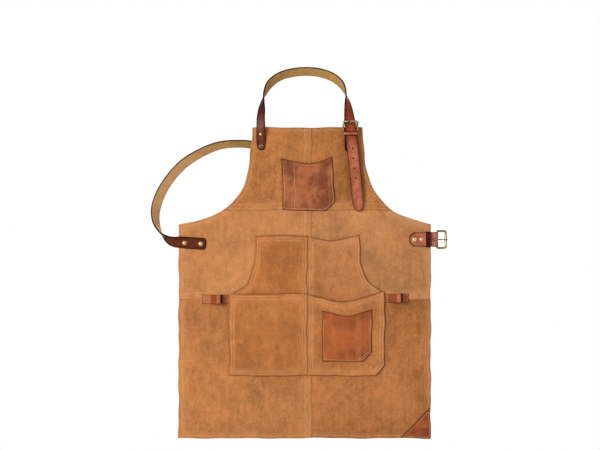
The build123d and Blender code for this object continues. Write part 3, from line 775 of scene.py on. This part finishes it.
# Colour, turn of the clouds, darkness of the cut edge (its own colour and painted edge shade), contrast of
# the clouds.
SUEDES = {
    "bib_panel_left": ((195, 124, 68), 0.3, 0.2, 1.0),
    "bib_panel_right": ((192, 121, 66), 1.1, 0.2, 1.0),
    "waist_panel_left": ((201, 133, 79), 2.2, 0.2, 0.62),
    "waist_panel_right": ((205, 138, 85), 3.1, 0.2, 0.7),
    "skirt_panel_left": ((197, 127, 72), 4.5, 0.2, 0.85),
    "skirt_panel_right": ((190, 120, 67), 5.2, 0.2, 1.0),
    "hand_pocket_left": ((196, 121, 64), 6.3, 0.5, 0.8),
    "hand_pocket_right": ((192, 123, 72), 7.4, 0.6, 0.8),
    "tool_pocket_left": ((189, 117, 62), 8.5, 0.45, 0.8),
    "tool_pocket_right": ((197, 124, 68), 9.6, 0.7, 0.8),
}
M = {name: suede_material("suede_" + name, linear(*colour), *rest)
     for name, (colour, *rest) in SUEDES.items()}
M.update({
    "chest_pocket": smooth_leather_material("leather_chest", linear(166, 91, 52), 0.4, 0.50, 1.5, 0.30),
    "rule_pocket": smooth_leather_material("leather_rule", linear(175, 89, 43), 1.7, 0.50, 0.6, 0.35),
    "corner_patch": smooth_leather_material("leather_patch", linear(172, 86, 40), 2.9, 0.55),
    "neck_strap": strap_material("strap_neck", NECK_STOPS, FLESH),
    "waist_strap": strap_material("strap_waist", WAIST_STOPS, WAIST_FLESH),
    # Painted shade: the neck tab is coloured dark brown for the shadow of the strap's tail over it.
    "neck_buckle_tab": strap_material("strap_neck_tab", ((0, 0, linear(72, 30, 18)),), FLESH),
    # Painted highlight: the pale band past the fold and a paler middle, partly wear.
    "waist_buckle_tab": strap_material("strap_waist_tab", WAIST_TAB_STOPS, FLESH, 0.38, 0.2, (2.0, 8.0),
                                       (1.25, 1.5, 1.6)),
    # Painted highlight: a pale middle on the neck keeper.
    "neck_strap_keeper": strap_material("strap_neck_keeper", ((0, 0, linear(172, 92, 66)),), FLESH, 0.34, 0.6,
                                        (1.0, 4.0)),
    # Painted shade: the waist keeper is coloured near black-maroon for the shade it sits in.
    "waist_strap_keeper": strap_material("strap_waist_keeper", ((0, 0, linear(88, 34, 22)),), FLESH, 0.34,
                                         0.0),
    "brass": brass_material("antique_brass", linear(242, 224, 160), linear(74, 58, 28)),
    "brass_dark": brass_material("antique_brass_dark", linear(216, 190, 112), linear(34, 24, 8), worn=0.05),
    "rivet": brass_material("rivet_brass", linear(246, 226, 168), linear(216, 190, 130), 0.40),
    "rivet_dark": brass_material("rivet_brass_dark", linear(226, 198, 132), linear(78, 56, 28), 0.36, 0.04),
    "thread": thread_material("thread_tan", linear(238, 184, 136)),
    "thread_dark": thread_material("thread_brown", linear(176, 116, 74)),
})


# ------------------------------------------------------------------ outlines
POCKET_ROWS = (5.5, 12.0)
TRIM_ROW = 4.0
HEM_ROW = 7.0
CENTRE_ROWS = (-5.8, 6.0)
SEAM_ROWS = (5.5, 16.5)
LEVELS = {"bib": (CHEST_SEAM, BIB_TOP + 1), "waist": (HIP_SEAM, CHEST_SEAM), "skirt": (-1.0, HIP_SEAM)}

BODY = join(
    curve((-136, BIB_TOP), (-141.5, 708), (-150, 656), (-171, 608), (-213, 568), (-267, 545.5),
          (LEFT_EDGE + 1, WING_TOP)),
    lines((LEFT_EDGE, 0), (RIGHT_EDGE, 0)),
    curve((RIGHT_EDGE + 0.5, WING_TOP), (270, 546), (216, 568), (176, 608), (154, 656), (144, 708),
          (138.5, BIB_TOP)))
CUT = {
    "hand_pocket_left": join(
        lines((-129.5, 465), (-129.5, 505.5), (POCKET_SPLIT, 505.5), (POCKET_SPLIT, POCKET_LOW),
              (-186, POCKET_LOW)),
        curve((-186, 362), (-150, 386), (-134, 430), (-129.5, 465))),
    "hand_pocket_right": join(
        curve((POCKET_SPLIT, 504), (63, 494), (132, 507)),
        curve((132, 470), (135, 432), (152, 394), (186, 367)),
        lines((186, 172), (170, POCKET_LOW), (POCKET_SPLIT, POCKET_LOW))),
    "tool_pocket_left": join(
        lines((-194.5, POCKET_LOW), (POCKET_SPLIT, POCKET_LOW), (POCKET_SPLIT, 360.5), (-194.5, 360.5))),
    "tool_pocket_right": join(
        curve((POCKET_SPLIT, 359), (95, 342), (193.5, 367)),
        lines((194.5, 183), (170.5, POCKET_LOW), (POCKET_SPLIT, POCKET_LOW))),
    "chest_pocket": join(
        curve((-63, 698), (8, 686.5), (64, 701.5)),
        lines((69, 589), (48, 569.5), (-59.5, 569.5))),
    "rule_pocket": join(
        curve((38, 318), (105, 306), (161.5, 320.5)),
        lines((161.5, 213), (142, 192.5), (39, 192.5))),
    "corner_patch": join(lines((235, 0), (RIGHT_EDGE, 0), (RIGHT_EDGE, 79))),
}


def clip_box(outline, left, right, low, high):
    """The part of a closed outline inside an upright rectangle."""
    points = outline
    for axis, limit, way in ((0, left, 1), (0, right, -1), (1, low, 1), (1, high, -1)):
        found = []
        for a, b in zip(*segments(points)):
            a_in = (a[axis] - limit) * way >= -1e-9
            b_in = (b[axis] - limit) * way >= -1e-9
            if a_in:
                found.append(a)
            if a_in != b_in:
                share = (limit - a[axis]) / (b[axis] - a[axis])
                found.append(a + (b - a) * share)
        points = np.array(found)
    return points[np.linalg.norm(points - np.roll(points, 1, axis=0), axis=1) > 0.05]


def notched(outline, limit_x, limit_z):
    """The outline without its corner right of limit_x and above limit_z."""
    kept = outline[(outline[:, 0] <= limit_x) | (outline[:, 1] <= limit_z)]
    last = int(np.argmax(kept[:, 0] - (kept[:, 1] > limit_z - 1) * 1e6))
    step = lines((kept[last][0], limit_z), (limit_x, limit_z), (limit_x, outline[:, 1].max()))
    return np.insert(kept, last + 1, step, axis=0)


def border_rows(outline, depths, keep=None):
    """Stitch rows at set depths inside an outline, only where keep(points) is true."""
    runs = []
    for depth in depths:
        ring = inset(even(outline, EDGE_STEP), depth)
        chosen = keep(ring) if keep else np.full(len(ring), True)
        start = 0 if chosen.all() else int(np.argmin(chosen))
        current = []
        for k in range(len(ring) + 1):
            i = (start + k) % len(ring)
            apart = bool(current) and np.linalg.norm(current[-1] - ring[i]) > 14
            if apart or not chosen[i] or k == len(ring):
                if len(current) > 3:
                    runs.append(np.array(current))
                current = []
            if chosen[i]:
                current.append(ring[i])
    return runs


def hang(parts, bends):
    """Parts that bend hang on both sides of the bib's fold, the others on the skirt."""
    for part in parts:
        if bends:
            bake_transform(part)
        else:
            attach(part, "skirt")


# ------------------------------------------------------------------ body panels
def lap_rise(x, z):
    """How far the seams push out what is sewn over them."""
    rise = ease((x + 24) / 14) * ease((34 - x) / 20)
    for seam in (CHEST_SEAM, HIP_SEAM):
        rise = rise + ease((z - seam + 12) / 12) * ease((seam + LAP + 12 - z) / 12)
    return np.minimum(rise, 1.7)


def on_body(x, z):
    """Depth of the body's front under a pocket."""
    return -SUEDE - lap_rise(x, z)


def panel_outline(level, left):
    """A panel's share of the body, with the flanges that run behind its neighbours."""
    low, high = LEVELS[level]
    reach = high if level == "bib" else high + LAP
    if not left:
        return clip_box(BODY, CENTRE_LAP - LAP, RIGHT_EDGE + 9, low, reach)
    outline = clip_box(BODY, LEFT_EDGE - 9, CENTRE_LAP, low, reach)
    return outline if level == "bib" else notched(outline, CENTRE_LAP - LAP, high)


def panel_rows(outline, low, top, left):
    """Stitch rows of one panel: its lower seam, the centre seam and the border."""
    rows = []
    if low > 0:
        bottom = outline[np.abs(outline[:, 1] - low) < 1, 0]
        start = bottom.min() if left else max(bottom.min(), CENTRE_LAP)
        for rise in SEAM_ROWS:
            across = np.arange(start, bottom.max(), 2.0)
            level = np.stack([across, np.full(len(across), low + rise)], axis=1)
            level = level[inside(level, BODY) & (distance_to(level, BODY) > 3.0)]
            rows.append(level[[0, -1]])
    if left:
        rows += [lines((x, max(low, 0) + 1), (x, top - 1)) for x in CENTRE_ROWS]
    return rows + border_rows(BODY, [HEM_ROW], lambda p: inside(p, outline) & (p[:, 1] < top - 1)
                              & ((p[:, 0] < CENTRE_LAP) == left))


def body_panel(level, side):
    """One body panel and its stitching."""
    name = level + "_panel_" + side
    left = side == "left"
    low, high = LEVELS[level]
    outline = panel_outline(level, left)
    rows = panel_rows(outline, low, min(high, BIB_TOP), left)

    def back(x, z):
        """Upper and left panels ride forward at a seam, the ones under them back."""
        shift = ease((CENTRE_LAP + 12 - x) / 12)
        if left:
            shift = -ease((x - (CENTRE_LAP - LAP - 14)) / 14)
        if low > 0:
            shift = shift - ease((low + LAP + 12 - z) / 12)
        if high < BIB_TOP:
            shift = shift + ease((z - high + 10) / 10)
        return np.clip(shift, -1.7, 1.7)

    def relief(x, z, depth):
        """A rolled border, and lap edges that are cut thin."""
        border = distance_to(np.stack([x, z], axis=1), BODY)
        to_centre = CENTRE_LAP - x if left else 99.0
        to_seam = z - low if low > 0 else 99.0
        return 0.35 * ease((9.5 - border) / 3) - 1.2 * ease((5.5 - np.minimum(to_centre, to_seam)) / 5)

    covers = [{"bib": "chest_pocket", "waist": "hand_pocket_" + side, "skirt": "tool_pocket_" + side}[level]]
    if name == "skirt_panel_right":
        covers.append("corner_patch")
    piece = leather_sheet(name + "_leather", outline, back, SUEDE, relief, M[name], "suede", rows,
                          [CUT[cover] for cover in covers], 7.5)
    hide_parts(name)
    sewn = [(path, lambda x, z: back(x, z) - SUEDE - 0.12, -1) for path in rows]
    sewn += [(path, lambda x, z: np.maximum(back(x, z), lap_rise(x, z)), 1) for path in rows]
    hang([piece, stitches(name + "_stitches", sewn, M["thread"], "suede")], level != "skirt")


# ------------------------------------------------------------------ pockets
def mouth(x, z, low, rise, middle, half_width, fade):
    """How far a pocket's mouth stands open: 0 below height low and beyond its sides, 1 at its middle."""
    return ease((z - low) / rise) * ease((half_width - np.abs(x - middle)) / fade)


def off_centre(x):
    """0 at the centre seam, where the pockets are sewn down, and 1 away from it."""
    return ease((np.abs(x - 1) - 8) / 25)


def hand_depth(x, z):
    return on_body(x, z) - 1.3 * mouth(x, z, 476, 24, 0, 118, 30) * off_centre(x)


def tool_depth(x, z):
    over_loop = ease((z - 322) / 8) * ease((378 - z) / 8)
    pressed = ease((np.abs(x) - 185) / 6) * (1 - over_loop)
    belly = 1.2 * np.exp(-(((np.abs(x) - 98) / 60) ** 2) - ((z - 260) / 60) ** 2)
    opened = 1.4 * mouth(x, z, 325, 22, 0, 170, 30) * off_centre(x)
    return on_body(x, z) - SUEDE + 1.6 * pressed - opened - belly


def rule_depth(x, z):
    return tool_depth(x, z) - SUEDE - 1.2 * mouth(x, z, 286, 18, 100, 48, 18)


def chest_depth(x, z):
    return on_body(x, z) - 1.2 * mouth(x, z, 660, 24, 0, 50, 18)


def pocket(name, depth, rows, smooth=False, covers=()):
    """One pocket layer with its sewing."""
    thickness = POCKET_LEATHER if smooth else SUEDE
    slot = "smooth_leather" if smooth else "suede"
    piece = leather_sheet(name + "_leather", CUT[name], depth, thickness,
                          lambda x, z, edge: 0.45 * ease((4.5 - edge) / 3), M[name], slot, rows,
                          [CUT[cover] for cover in covers], 6.5)
    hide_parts(name)
    sewn = [(path, lambda x, z: depth(x, z) - thickness, -1) for path in rows]
    hang([piece, stitches(name + "_stitches", sewn, M["thread"], slot)], name == "chest_pocket")


def make_pockets():
    for side in ("left", "right"):
        name = "hand_pocket_" + side
        seen = border_rows(CUT[name], POCKET_ROWS, lambda p: p[:, 1] > 352)
        pocket(name, hand_depth, seen, covers=["tool_pocket_" + side])
    for side in ("left", "right"):
        name = "tool_pocket_" + side
        pocket(name, tool_depth, border_rows(CUT[name], POCKET_ROWS),
               covers=["rule_pocket"] if side == "right" else [])

    rule = CUT["rule_pocket"]
    rows = border_rows(rule, [TRIM_ROW], lambda p: p[:, 1] < 300)
    rows += border_rows(rule, [8.5], lambda p: (p[:, 0] + p[:, 1] > 329) & (p[:, 0] > 128) & (p[:, 0] < 153)
                        & (p[:, 1] < 216))
    pocket("rule_pocket", rule_depth, rows, smooth=True)

    rows = border_rows(CUT["chest_pocket"], [TRIM_ROW], lambda p: p[:, 1] < 684)
    rows.append(lines((-30, 574), (-31.5, 686)))
    pocket("chest_pocket", chest_depth, rows, smooth=True)
    pocket("corner_patch", on_body, border_rows(CUT["corner_patch"], [TRIM_ROW]), smooth=True)


# ------------------------------------------------------------------ tool loops
def tool_loop(name, outer, inner, low, high, bulge, left_foot, crest):
    """A strip sewn down at both feet: it rises gently from the left and drops steeply past its crest."""
    base = -SUEDE * 1.5
    start, end = min(outer, inner), max(outer, inner)
    rise = crest - left_foot
    z = (low + high) / 2
    half = (high - low) / 2
    slope = [(left_foot + rise * part, base - bulge * share)
             for part, share in ((0.23, 0.27), (0.54, 0.66), (0.81, 0.95), (1, 1))]
    drop = [(crest + past, base - bulge * share) for past, share in ((3, 0.86), (3.2, 0.55), (2.6, 0.25))]
    middle = [(start, base), (left_foot - 4, base), (left_foot, base - 0.8), *slope, *drop,
              (crest + 4.5, base - 1.0), (crest + 9, base), (end, base)]
    path = spaced(curve(*[(x, y, z) for x, y in middle], step=1.0), 0.7)
    at = run_length(path)
    normal = np.cross(np.gradient(path, at, axis=0), (0.0, 0.0, 1.0))
    frames = frames_of(at, path, -normal * np.sign(normal[len(at) // 2][1]))

    def run_at(x, y):
        return float(at[int(np.argmin(np.hypot(path[:, 0] - x, path[:, 1] - y)))]) * MM

    top, foot = run_at(crest, base - bulge), run_at(crest + 4.5, base - 1.0)
    # Colours along the strip: darker orange-brown up the rising face, a painted highlight as a pale stripe
    # just before the crest, painted shadow near black just past it, and the foot's brown.
    stops = ((run_at(left_foot - 3, base), run_at(left_foot + 2, base - 2), linear(146, 68, 20)),
             (top - 0.007, top - 0.005, linear(196, 110, 64)), (top + 0.001, top + 0.004, linear(64, 26, 6)),
             (foot + 0.0015, foot + 0.005, linear(174, 92, 50)))
    material = smooth_leather_material("leather_" + name, linear(172, 96, 60), outer / 80, 0.46, stops=stops)
    outline = join(lines((0, -half), (at[-1], -half), (at[-1], half), (0, half)))

    def follow(place):
        """Moves the strip with the hanging body, and lets its edges wander."""
        x, _, height = place.T
        return np.stack([np.zeros(len(x)), drape(x, height), 0.5 * np.sin(x / 9.0)], axis=1)

    piece = strap_sheet(name + "_leather", frames, outline, [], SUEDE, material, "smooth_leather", 3.0, 2.5,
                        (0.3, 0.9, 1.8), 0.8, follow)
    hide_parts(name)
    inwards = -math.copysign(1, outer)
    rows = [(lines((x, low + 3), (x, high - 3)), lambda x, z: np.full(np.shape(x), base - 1.0), -1)
            for x in (outer + inwards * 4, outer + inwards * 11)]
    thread = stitches(name + "_stitches", rows, M["thread_dark"], "smooth_leather", 3.6, 2.8, 0.42)
    hang([piece, thread], False)


# ------------------------------------------------------------------ the two straps
def tail_x(z):
    """The hanging end of the neck strap leans to the right."""
    return 106.3 + (800 - z) * 0.1034


def neck_strap():
    """One strap: riveted end, over the neck, through the buckle and down to its tip."""
    y = STRAP_DEPTH
    route = [
        ((-114.0, y, 719.5), (0, -1, 0)), ((-114.0, y, 745), (0, -1, 0)),
        ((-114.6, y - 2.6, 775), (-0.32, -0.95, 0)), ((-114.8, y - 2, 800), (-0.52, -0.85, 0)),
        ((-114.3, y - 1, 808), (-0.60, -0.80, 0)), ((-113, y, 820), (-0.72, -0.70, 0)),
        ((-110.5, y + 1, 840), (-0.93, -0.30, 0)), ((-106, y + 2, 859), (-1, 0.12, 0)),
        ((-92, y + 4, 886), (-0.62, 0.55, 0.52)), ((-67, y + 6, 905), (-0.28, 0.62, 0.72)),
        ((-25, y + 8, 916), (0, 0.65, 0.76)), ((25, y + 8, 915.5), (0, 0.65, 0.76)),
        ((62, y + 6, 904), (0.35, 0.62, 0.68)), ((84.5, y + 4, 886.5), (0.75, 0.48, 0.45)),
        ((97, y + 2, 863), (1, 0.05, 0)), ((102, y + 1, 838), (0.84, -0.52, 0)),
        ((105.6, y, 808), (0.50, -0.86, 0)), ((106.3, y, 800), (0.42, -0.90, 0)),
    ]
    # Over the roller, round the keeper and down.
    for z, depth in ((792.5, -4.0), (789.0, -4.2), (785.6, -7.0), (784.0, -12.4), (781.8, -15.5),
                     (778.0, -16.2), (771.5, -15.2), (764, -13.2), (757, -12.2), (740, -10.7),
                     (716, -10.4), (670, -9.0), (566, -7.2)):
        route.append(((tail_x(z) + (0.3 if z > 770 else 0), depth, z), (0.08 if z > 788 else 0, -1, 0)))
    frames = strap_frames(*zip(*route))
    at, place, _, across = frames
    total = at[-1]
    half = NECK_WIDTH / 2
    end_half = 11.7
    start = curve((0.0, 2.0), (1.2, 4.8), (4.0, 7.4), (9.5, 9.6), (22.0, end_half))
    widening = lines((78, end_half + 0.3), (105, end_half + 0.8), (170, half))
    tip = curve((total - 26, half), (total - 11, half * 0.78), (total - 4, half * 0.42), (total, 1.5))

    holes = []
    for count in range(4):
        z = 725.5 - HOLE_PITCH * count
        s = run_to(frames, lambda p, z=z: p[0] > 90 and p[1] < -4 and p[2] < z)
        holes.append(circle((s, 0), 1.7))
    over_roller = run_to(frames, lambda p: p[0] > 90 and p[1] < -13.6)
    station = int(np.searchsorted(at, over_roller))
    to_prong = (NECK_HEEL_X - place[station][0]) / across[station][0]
    holes.append(circle((over_roller - 1.0, to_prong), 1.5, long=3.2))
    for z in (729.5, 760.5):
        holes.append(circle((run_to(frames, lambda p, z=z: p[2] > z), 0), RIVET_HOLE))
    loop_end = run_to(frames, lambda p: p[0] > 90 and p[2] < 842)

    def thickness(s):
        return STRAP_LEATHER + LOOP_SWELL * ease((s - 80) / 30) * ease((loop_end - s) / 40)

    piece = strap_sheet("neck_strap_leather", frames, mirrored(np.vstack([start, widening, tip])), holes,
                        thickness, M["neck_strap"])
    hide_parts("neck_strap_end", "neck_strap_loop", "neck_strap_tail")
    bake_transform(piece)


def waist_strap():
    """The long strap, in a riveted start and a run that swings."""
    y = STRAP_DEPTH
    frames = strap_frames(*zip(
        ((-252, y, 485.5), (0, -1, 0)), ((-275, y, 487), (0, -1, 0)), ((-300, y, 488.7), (0, -1, 0)),
        ((-320.5, y - 1, 490), (-0.03, -0.97, -0.22)), ((-329, y - 0.6, 490.4), (-0.12, -0.88, -0.42)),
        ((-344, y, 495), (-0.36, -0.66, -0.64)), ((-364.5, y + 2, 513), (-0.7, 0, -0.7)),
        ((-378, 2, 545), (-0.85, 0.5, -0.2)), ((-377, 6, 580), (-0.69, 0.72, 0)),
        ((-355.5, 9, 631), (-0.55, 0.72, 0.4)), ((-312, 11, 683.5), (-0.4, 0.72, 0.56)),
        ((-264, 13, 715), (-0.3, 0.65, 0.68)), ((-217, 14.6, 733), (-0.1, 0.58, 0.8)),
        ((-167, 14.6, 737), (0, 0.55, 0.84)), ((-139, 14.6, 734), (0.05, 0.6, 0.8)),
        ((-67, 14.6, 708), (0.2, 0.87, 0.45)), ((8, 10, 664), (0, 1, 0)), ((70, 7.5, 595), (0, 1, 0)),
        ((108, 6.5, 508), (0, 1, 0)), ((125, 6.5, 408), (0, 1, 0)), ((128, 6.5, 295), (0, 1, 0))))
    total = frames[0][-1]
    half = WAIST_WIDTH / 2
    split = run_to(frames, lambda p: p[0] < -350)

    def thickness(s):
        return STRAP_LEATHER + LOOP_SWELL * ease((s - 70) / 40) * ease((total - 420 - s) / 80)

    corner = 7.5
    turn = np.linspace(0, math.pi / 2, 7)
    corners = np.stack([corner - corner * np.cos(turn), half - corner + corner * np.sin(turn)], axis=1)
    holes = [circle((run_to(frames, lambda p, x=x: p[0] < x), 0), RIVET_HOLE) for x in (-265, -305.5)]
    first = strap_sheet("waist_strap_start_leather", frames, mirrored(np.vstack([corners, [(split, half)]])),
                        holes, thickness, M["waist_strap"])
    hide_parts("waist_strap_end")
    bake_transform(first)

    tip = curve((total - 26, half), (total - 11, half * 0.80), (total - 3, half * 0.45), (total, 2))
    holes = [circle((total - 70 - HOLE_PITCH * count, 0), 2.2) for count in range(7)]
    rest = strap_sheet("waist_strap_run_leather", frames, mirrored(np.vstack([[(split, half)], tip])), holes,
                       thickness, M["waist_strap"])
    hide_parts("waist_strap")
    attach(rest, "waist_strap")


# ------------------------------------------------------------------ buckle tabs, keepers and frames
def buckle_tab(name, origin, ahead, width, fold_width, length, knee_near, knee_far, body):
    """A tab folded round the heel bar, a little wider at the fold than at its rounded end.

    It runs from its back layer round the bar to its front layer, which steps down at the knee.
    """
    middle = FOLD_INSIDE + TAB_LEATHER / 2
    rest = TAB_LEATHER * 1.5 - HEEL_HEIGHT
    turn = [(middle * math.cos(a), middle * math.sin(a)) for a in np.linspace(-math.pi / 2, math.pi / 2, 19)]
    over = curve((0, middle), (-knee_near / 2, (middle + rest + 1.6) / 2), (-knee_near, rest + 1.6),
                 (-knee_far, rest + 0.1), (-knee_far - 5, rest), (-length, rest), step=1.0)
    path = spaced(np.vstack([[(-length, -middle)], turn, over[1:]]), 0.5)
    at = run_length(path)
    way = np.gradient(path, at, axis=0)
    ahead = np.array(ahead, float)
    frames = frames_of(at, np.array(origin) + path[:, :1] * ahead + path[:, 1:] * OUT,
                       way[:, 1:] * ahead - way[:, :1] * OUT)

    half = width / 2
    wide = fold_width / 2
    corner = half * 0.55
    fold = length + math.pi * middle / 2
    turn = np.linspace(math.pi / 2, -math.pi / 2, 24)[:12]
    end = np.stack([at[-1] - half + half * np.cos(turn), half * np.sin(turn)], axis=1)
    side = lines((0, half - corner), (corner, half), (fold - 24, half), (fold - 16, wide), (fold + 16, wide),
                 (fold + 24, half))
    slot = circle((fold + 1.9, 0), 2.1, count=24, long=18.0)
    piece = strap_sheet(name + "_leather", frames, mirrored(np.vstack([side, end])), [slot], TAB_LEATHER,
                        M[name], "strap_leather", 2.0, 1.5, (0.3, 0.8, 1.6), 0.8)
    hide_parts(name)
    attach(piece, body)


def keeper(name, place, sideways, along, half_inside, near_y, far_y, width, body):
    """A band round the tab and the strap: near_y at the back, far_y at the front."""
    radius = 2.6
    half_w = half_inside + KEEPER_LEATHER / 2 - radius
    half_h = (abs(far_y) - abs(near_y)) / 2 - 0.7 - radius
    sideways = np.array(sideways, float)
    middle = np.array((place[0], (near_y + far_y) / 2, place[1]))
    path, normals = [], []
    for corner, (sx, sy) in enumerate(((1, 1), (-1, 1), (-1, -1), (1, -1))):
        for angle in np.linspace(corner, corner + 1, 7) * math.pi / 2:
            normals.append(sideways * math.cos(angle) + OUT * math.sin(angle))
            path.append(middle + sideways * sx * half_w + OUT * sy * half_h + normals[-1] * radius)
    piece = band_loop(name + "_leather", path, normals, np.array(along, float), width, M[name],
                      "strap_leather")
    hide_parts(name)
    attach(piece, body)


def buckle_ring(body, origin, ahead, sideways, tilt, half, tab_width, roller_length, brass):
    """A cast frame with round corners: thinner where the tab and the roller turn on it."""
    depth = 23.3
    corner = 4.6
    thick, at_heel, at_roller = 2.6, 1.85, 1.58
    path = []
    for turn, (cx, cy) in enumerate(((depth - corner, half - corner), (corner, half - corner),
                                     (corner, corner - half), (depth - corner, corner - half))):
        for angle in np.linspace(turn, turn + 1, 9) * math.pi / 2:
            path.append((cx + corner * math.cos(angle), cy + corner * math.sin(angle)))
    path = even(np.array(path), 1.0)
    lean = math.radians(tilt)
    ahead = np.array(ahead, float) * math.cos(lean) + OUT * math.sin(lean)
    plane = np.cross(ahead, sideways)
    centre = np.array(origin, float) + path[:, :1] * ahead + path[:, 1:] * np.array(sideways, float)
    inward = np.cross(unit(np.roll(centre, -1, axis=0) - np.roll(centre, 1, axis=0)), plane)
    in_tab = (path[:, 0] < 4) * ease((tab_width / 2 + 2.0 - np.abs(path[:, 1])) / 2.0)
    in_roller = (path[:, 0] > depth - 4) * ease((roller_length / 2 + 1.6 - np.abs(path[:, 1])) / 1.2)
    radius = thick - (thick - at_heel) * in_tab - (thick - at_roller) * in_roller
    sides = 14
    verts = [place + (across * math.cos(angle) + plane * math.sin(angle) * 0.92) * reach
             for place, across, reach in zip(centre, inward, radius)
             for angle in np.arange(sides) * 2 * math.pi / sides]
    piece = mesh_object(body + "_frame_brass", np.array(verts) * MM, ring_faces(len(path), sides), M[brass],
                        "antique_brass")
    face_along(piece, 0, Vector(piece.data.polygons[0].center) - Vector(centre[0] * MM))
    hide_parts(body + "_frame")
    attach(piece, body)


# ------------------------------------------------------------------ the whole apron
UP, RIGHT, DOWN = (0, 0, 1), (1, 0, 0), (0, 0, -1)
NECK_HEEL = (NECK_HEEL_X, -SUEDE - HEEL_HEIGHT, 768.5)
WAIST_HEEL = (323.5, -SUEDE - HEEL_HEIGHT, 497.0)
WAIST_FOLD_WIDTH = 36.8

for level in LEVELS:
    for side in ("left", "right"):
        body_panel(level, side)
make_pockets()
tool_loop("tool_loop_left", -261.5, -186.1, 336.5, 359.0, 17, -240.0, -217.5)
tool_loop("tool_loop_right", 254.5, 186.1, 339.5, 362.0, 15, 204.0, 231.5)
neck_strap()
waist_strap()
buckle_tab("neck_buckle_tab", NECK_HEEL, UP, NECK_WIDTH, NECK_WIDTH, 54.5, 17, 21.5, "bib")
buckle_tab("waist_buckle_tab", WAIST_HEEL, RIGHT, 34.4, WAIST_FOLD_WIDTH, 67, 27, 30.3, "skirt")
keeper("neck_strap_keeper", (109.8, 760.7), RIGHT, UP, 15.6, -4.3, -16.55, 10.6, "neck_keeper")
keeper("waist_strap_keeper", (302.25, 497), UP, RIGHT, 18.2, -4.3, -13.65, 10.5, "waist_keeper")
buckle_ring("neck_buckle", NECK_HEEL, UP, RIGHT, 10.8, 17.6, NECK_WIDTH, 24, "brass")
buckle_ring("waist_buckle", WAIST_HEEL, RIGHT, DOWN, 0.0, 21.1, WAIST_FOLD_WIDTH, 28, "brass_dark")

METAL = {"neck_buckle_prong": "brass", "neck_buckle_roller": "brass", "waist_buckle_prong": "brass_dark",
         "waist_buckle_roller": "brass", "neck_strap_rivet_caps": "rivet_dark"}
for name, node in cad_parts.items():
    if name in METAL or "rivet" in name:
        node.data.materials.clear()
        node.data.materials.append(M[METAL.get(name, "rivet")])


# ------------------------------------------------------------------ studio
def area_light(name, place, aim, size, power, colour=(1, 1, 1)):
    light = bpy.data.lights.new(name, "AREA")
    light.shape = "DISK"
    light.size = size
    light.energy = power
    light.color = colour
    obj = bpy.data.objects.new(name, light)
    obj.location = place
    obj.rotation_euler = (Vector(aim) - Vector(place)).to_track_quat("-Z", "Y").to_euler()
    bpy.context.scene.collection.objects.link(obj)


def background():
    """White to the camera, grey to the leather, a little darker still in reflections."""
    world = bpy.data.worlds.new("studio")
    world.use_nodes = True
    tree = world.node_tree
    tree.nodes.clear()
    rays = tree.nodes.new("ShaderNodeLightPath")

    def glow(strength):
        node = tree.nodes.new("ShaderNodeBackground")
        node.inputs["Color"].default_value = (1, 1, 1, 1)
        node.inputs["Strength"].default_value = strength
        return node

    def choose(ray, otherwise, chosen):
        node = tree.nodes.new("ShaderNodeMixShader")
        for index, socket in enumerate((rays.outputs[ray], otherwise.outputs[0], chosen.outputs[0])):
            tree.links.new(socket, node.inputs[index])
        return node

    seen = choose("Is Camera Ray", choose("Is Glossy Ray", glow(0.34), glow(0.32)), glow(1.0))
    tree.links.new(seen.outputs[0], tree.nodes.new("ShaderNodeOutputWorld").inputs[0])
    bpy.context.scene.world = world


def studio():
    background()
    area_light("key", (-1.8, -1.7, 1.05), (0, 0, 0.48), 0.55, 38, (1.0, 0.985, 0.965))
    area_light("fill", (2.2, -3.0, 1.2), (0, 0, 0.45), 2.2, 14)
    area_light("rim", (0.5, 2.6, 2.0), (0, 0, 0.5), 1.8, 60)

    bpy.ops.mesh.primitive_plane_add(size=3.6, location=(0, 0, -0.35))
    floor = bpy.context.object
    floor.name = "studio_floor"
    floor.data.materials.append(floor_material())

    camera_data = bpy.data.cameras.new("camera")
    camera_data.sensor_width = 36
    camera_data.lens = 84
    camera = bpy.data.objects.new("camera", camera_data)
    camera.location = (-0.017, -3.5, 0.533)
    camera.rotation_euler = (math.pi / 2, 0, 0)
    bpy.context.scene.collection.objects.link(camera)
    bpy.context.scene.camera = camera
    bpy.context.scene.view_settings.view_transform = "Standard"


studio()
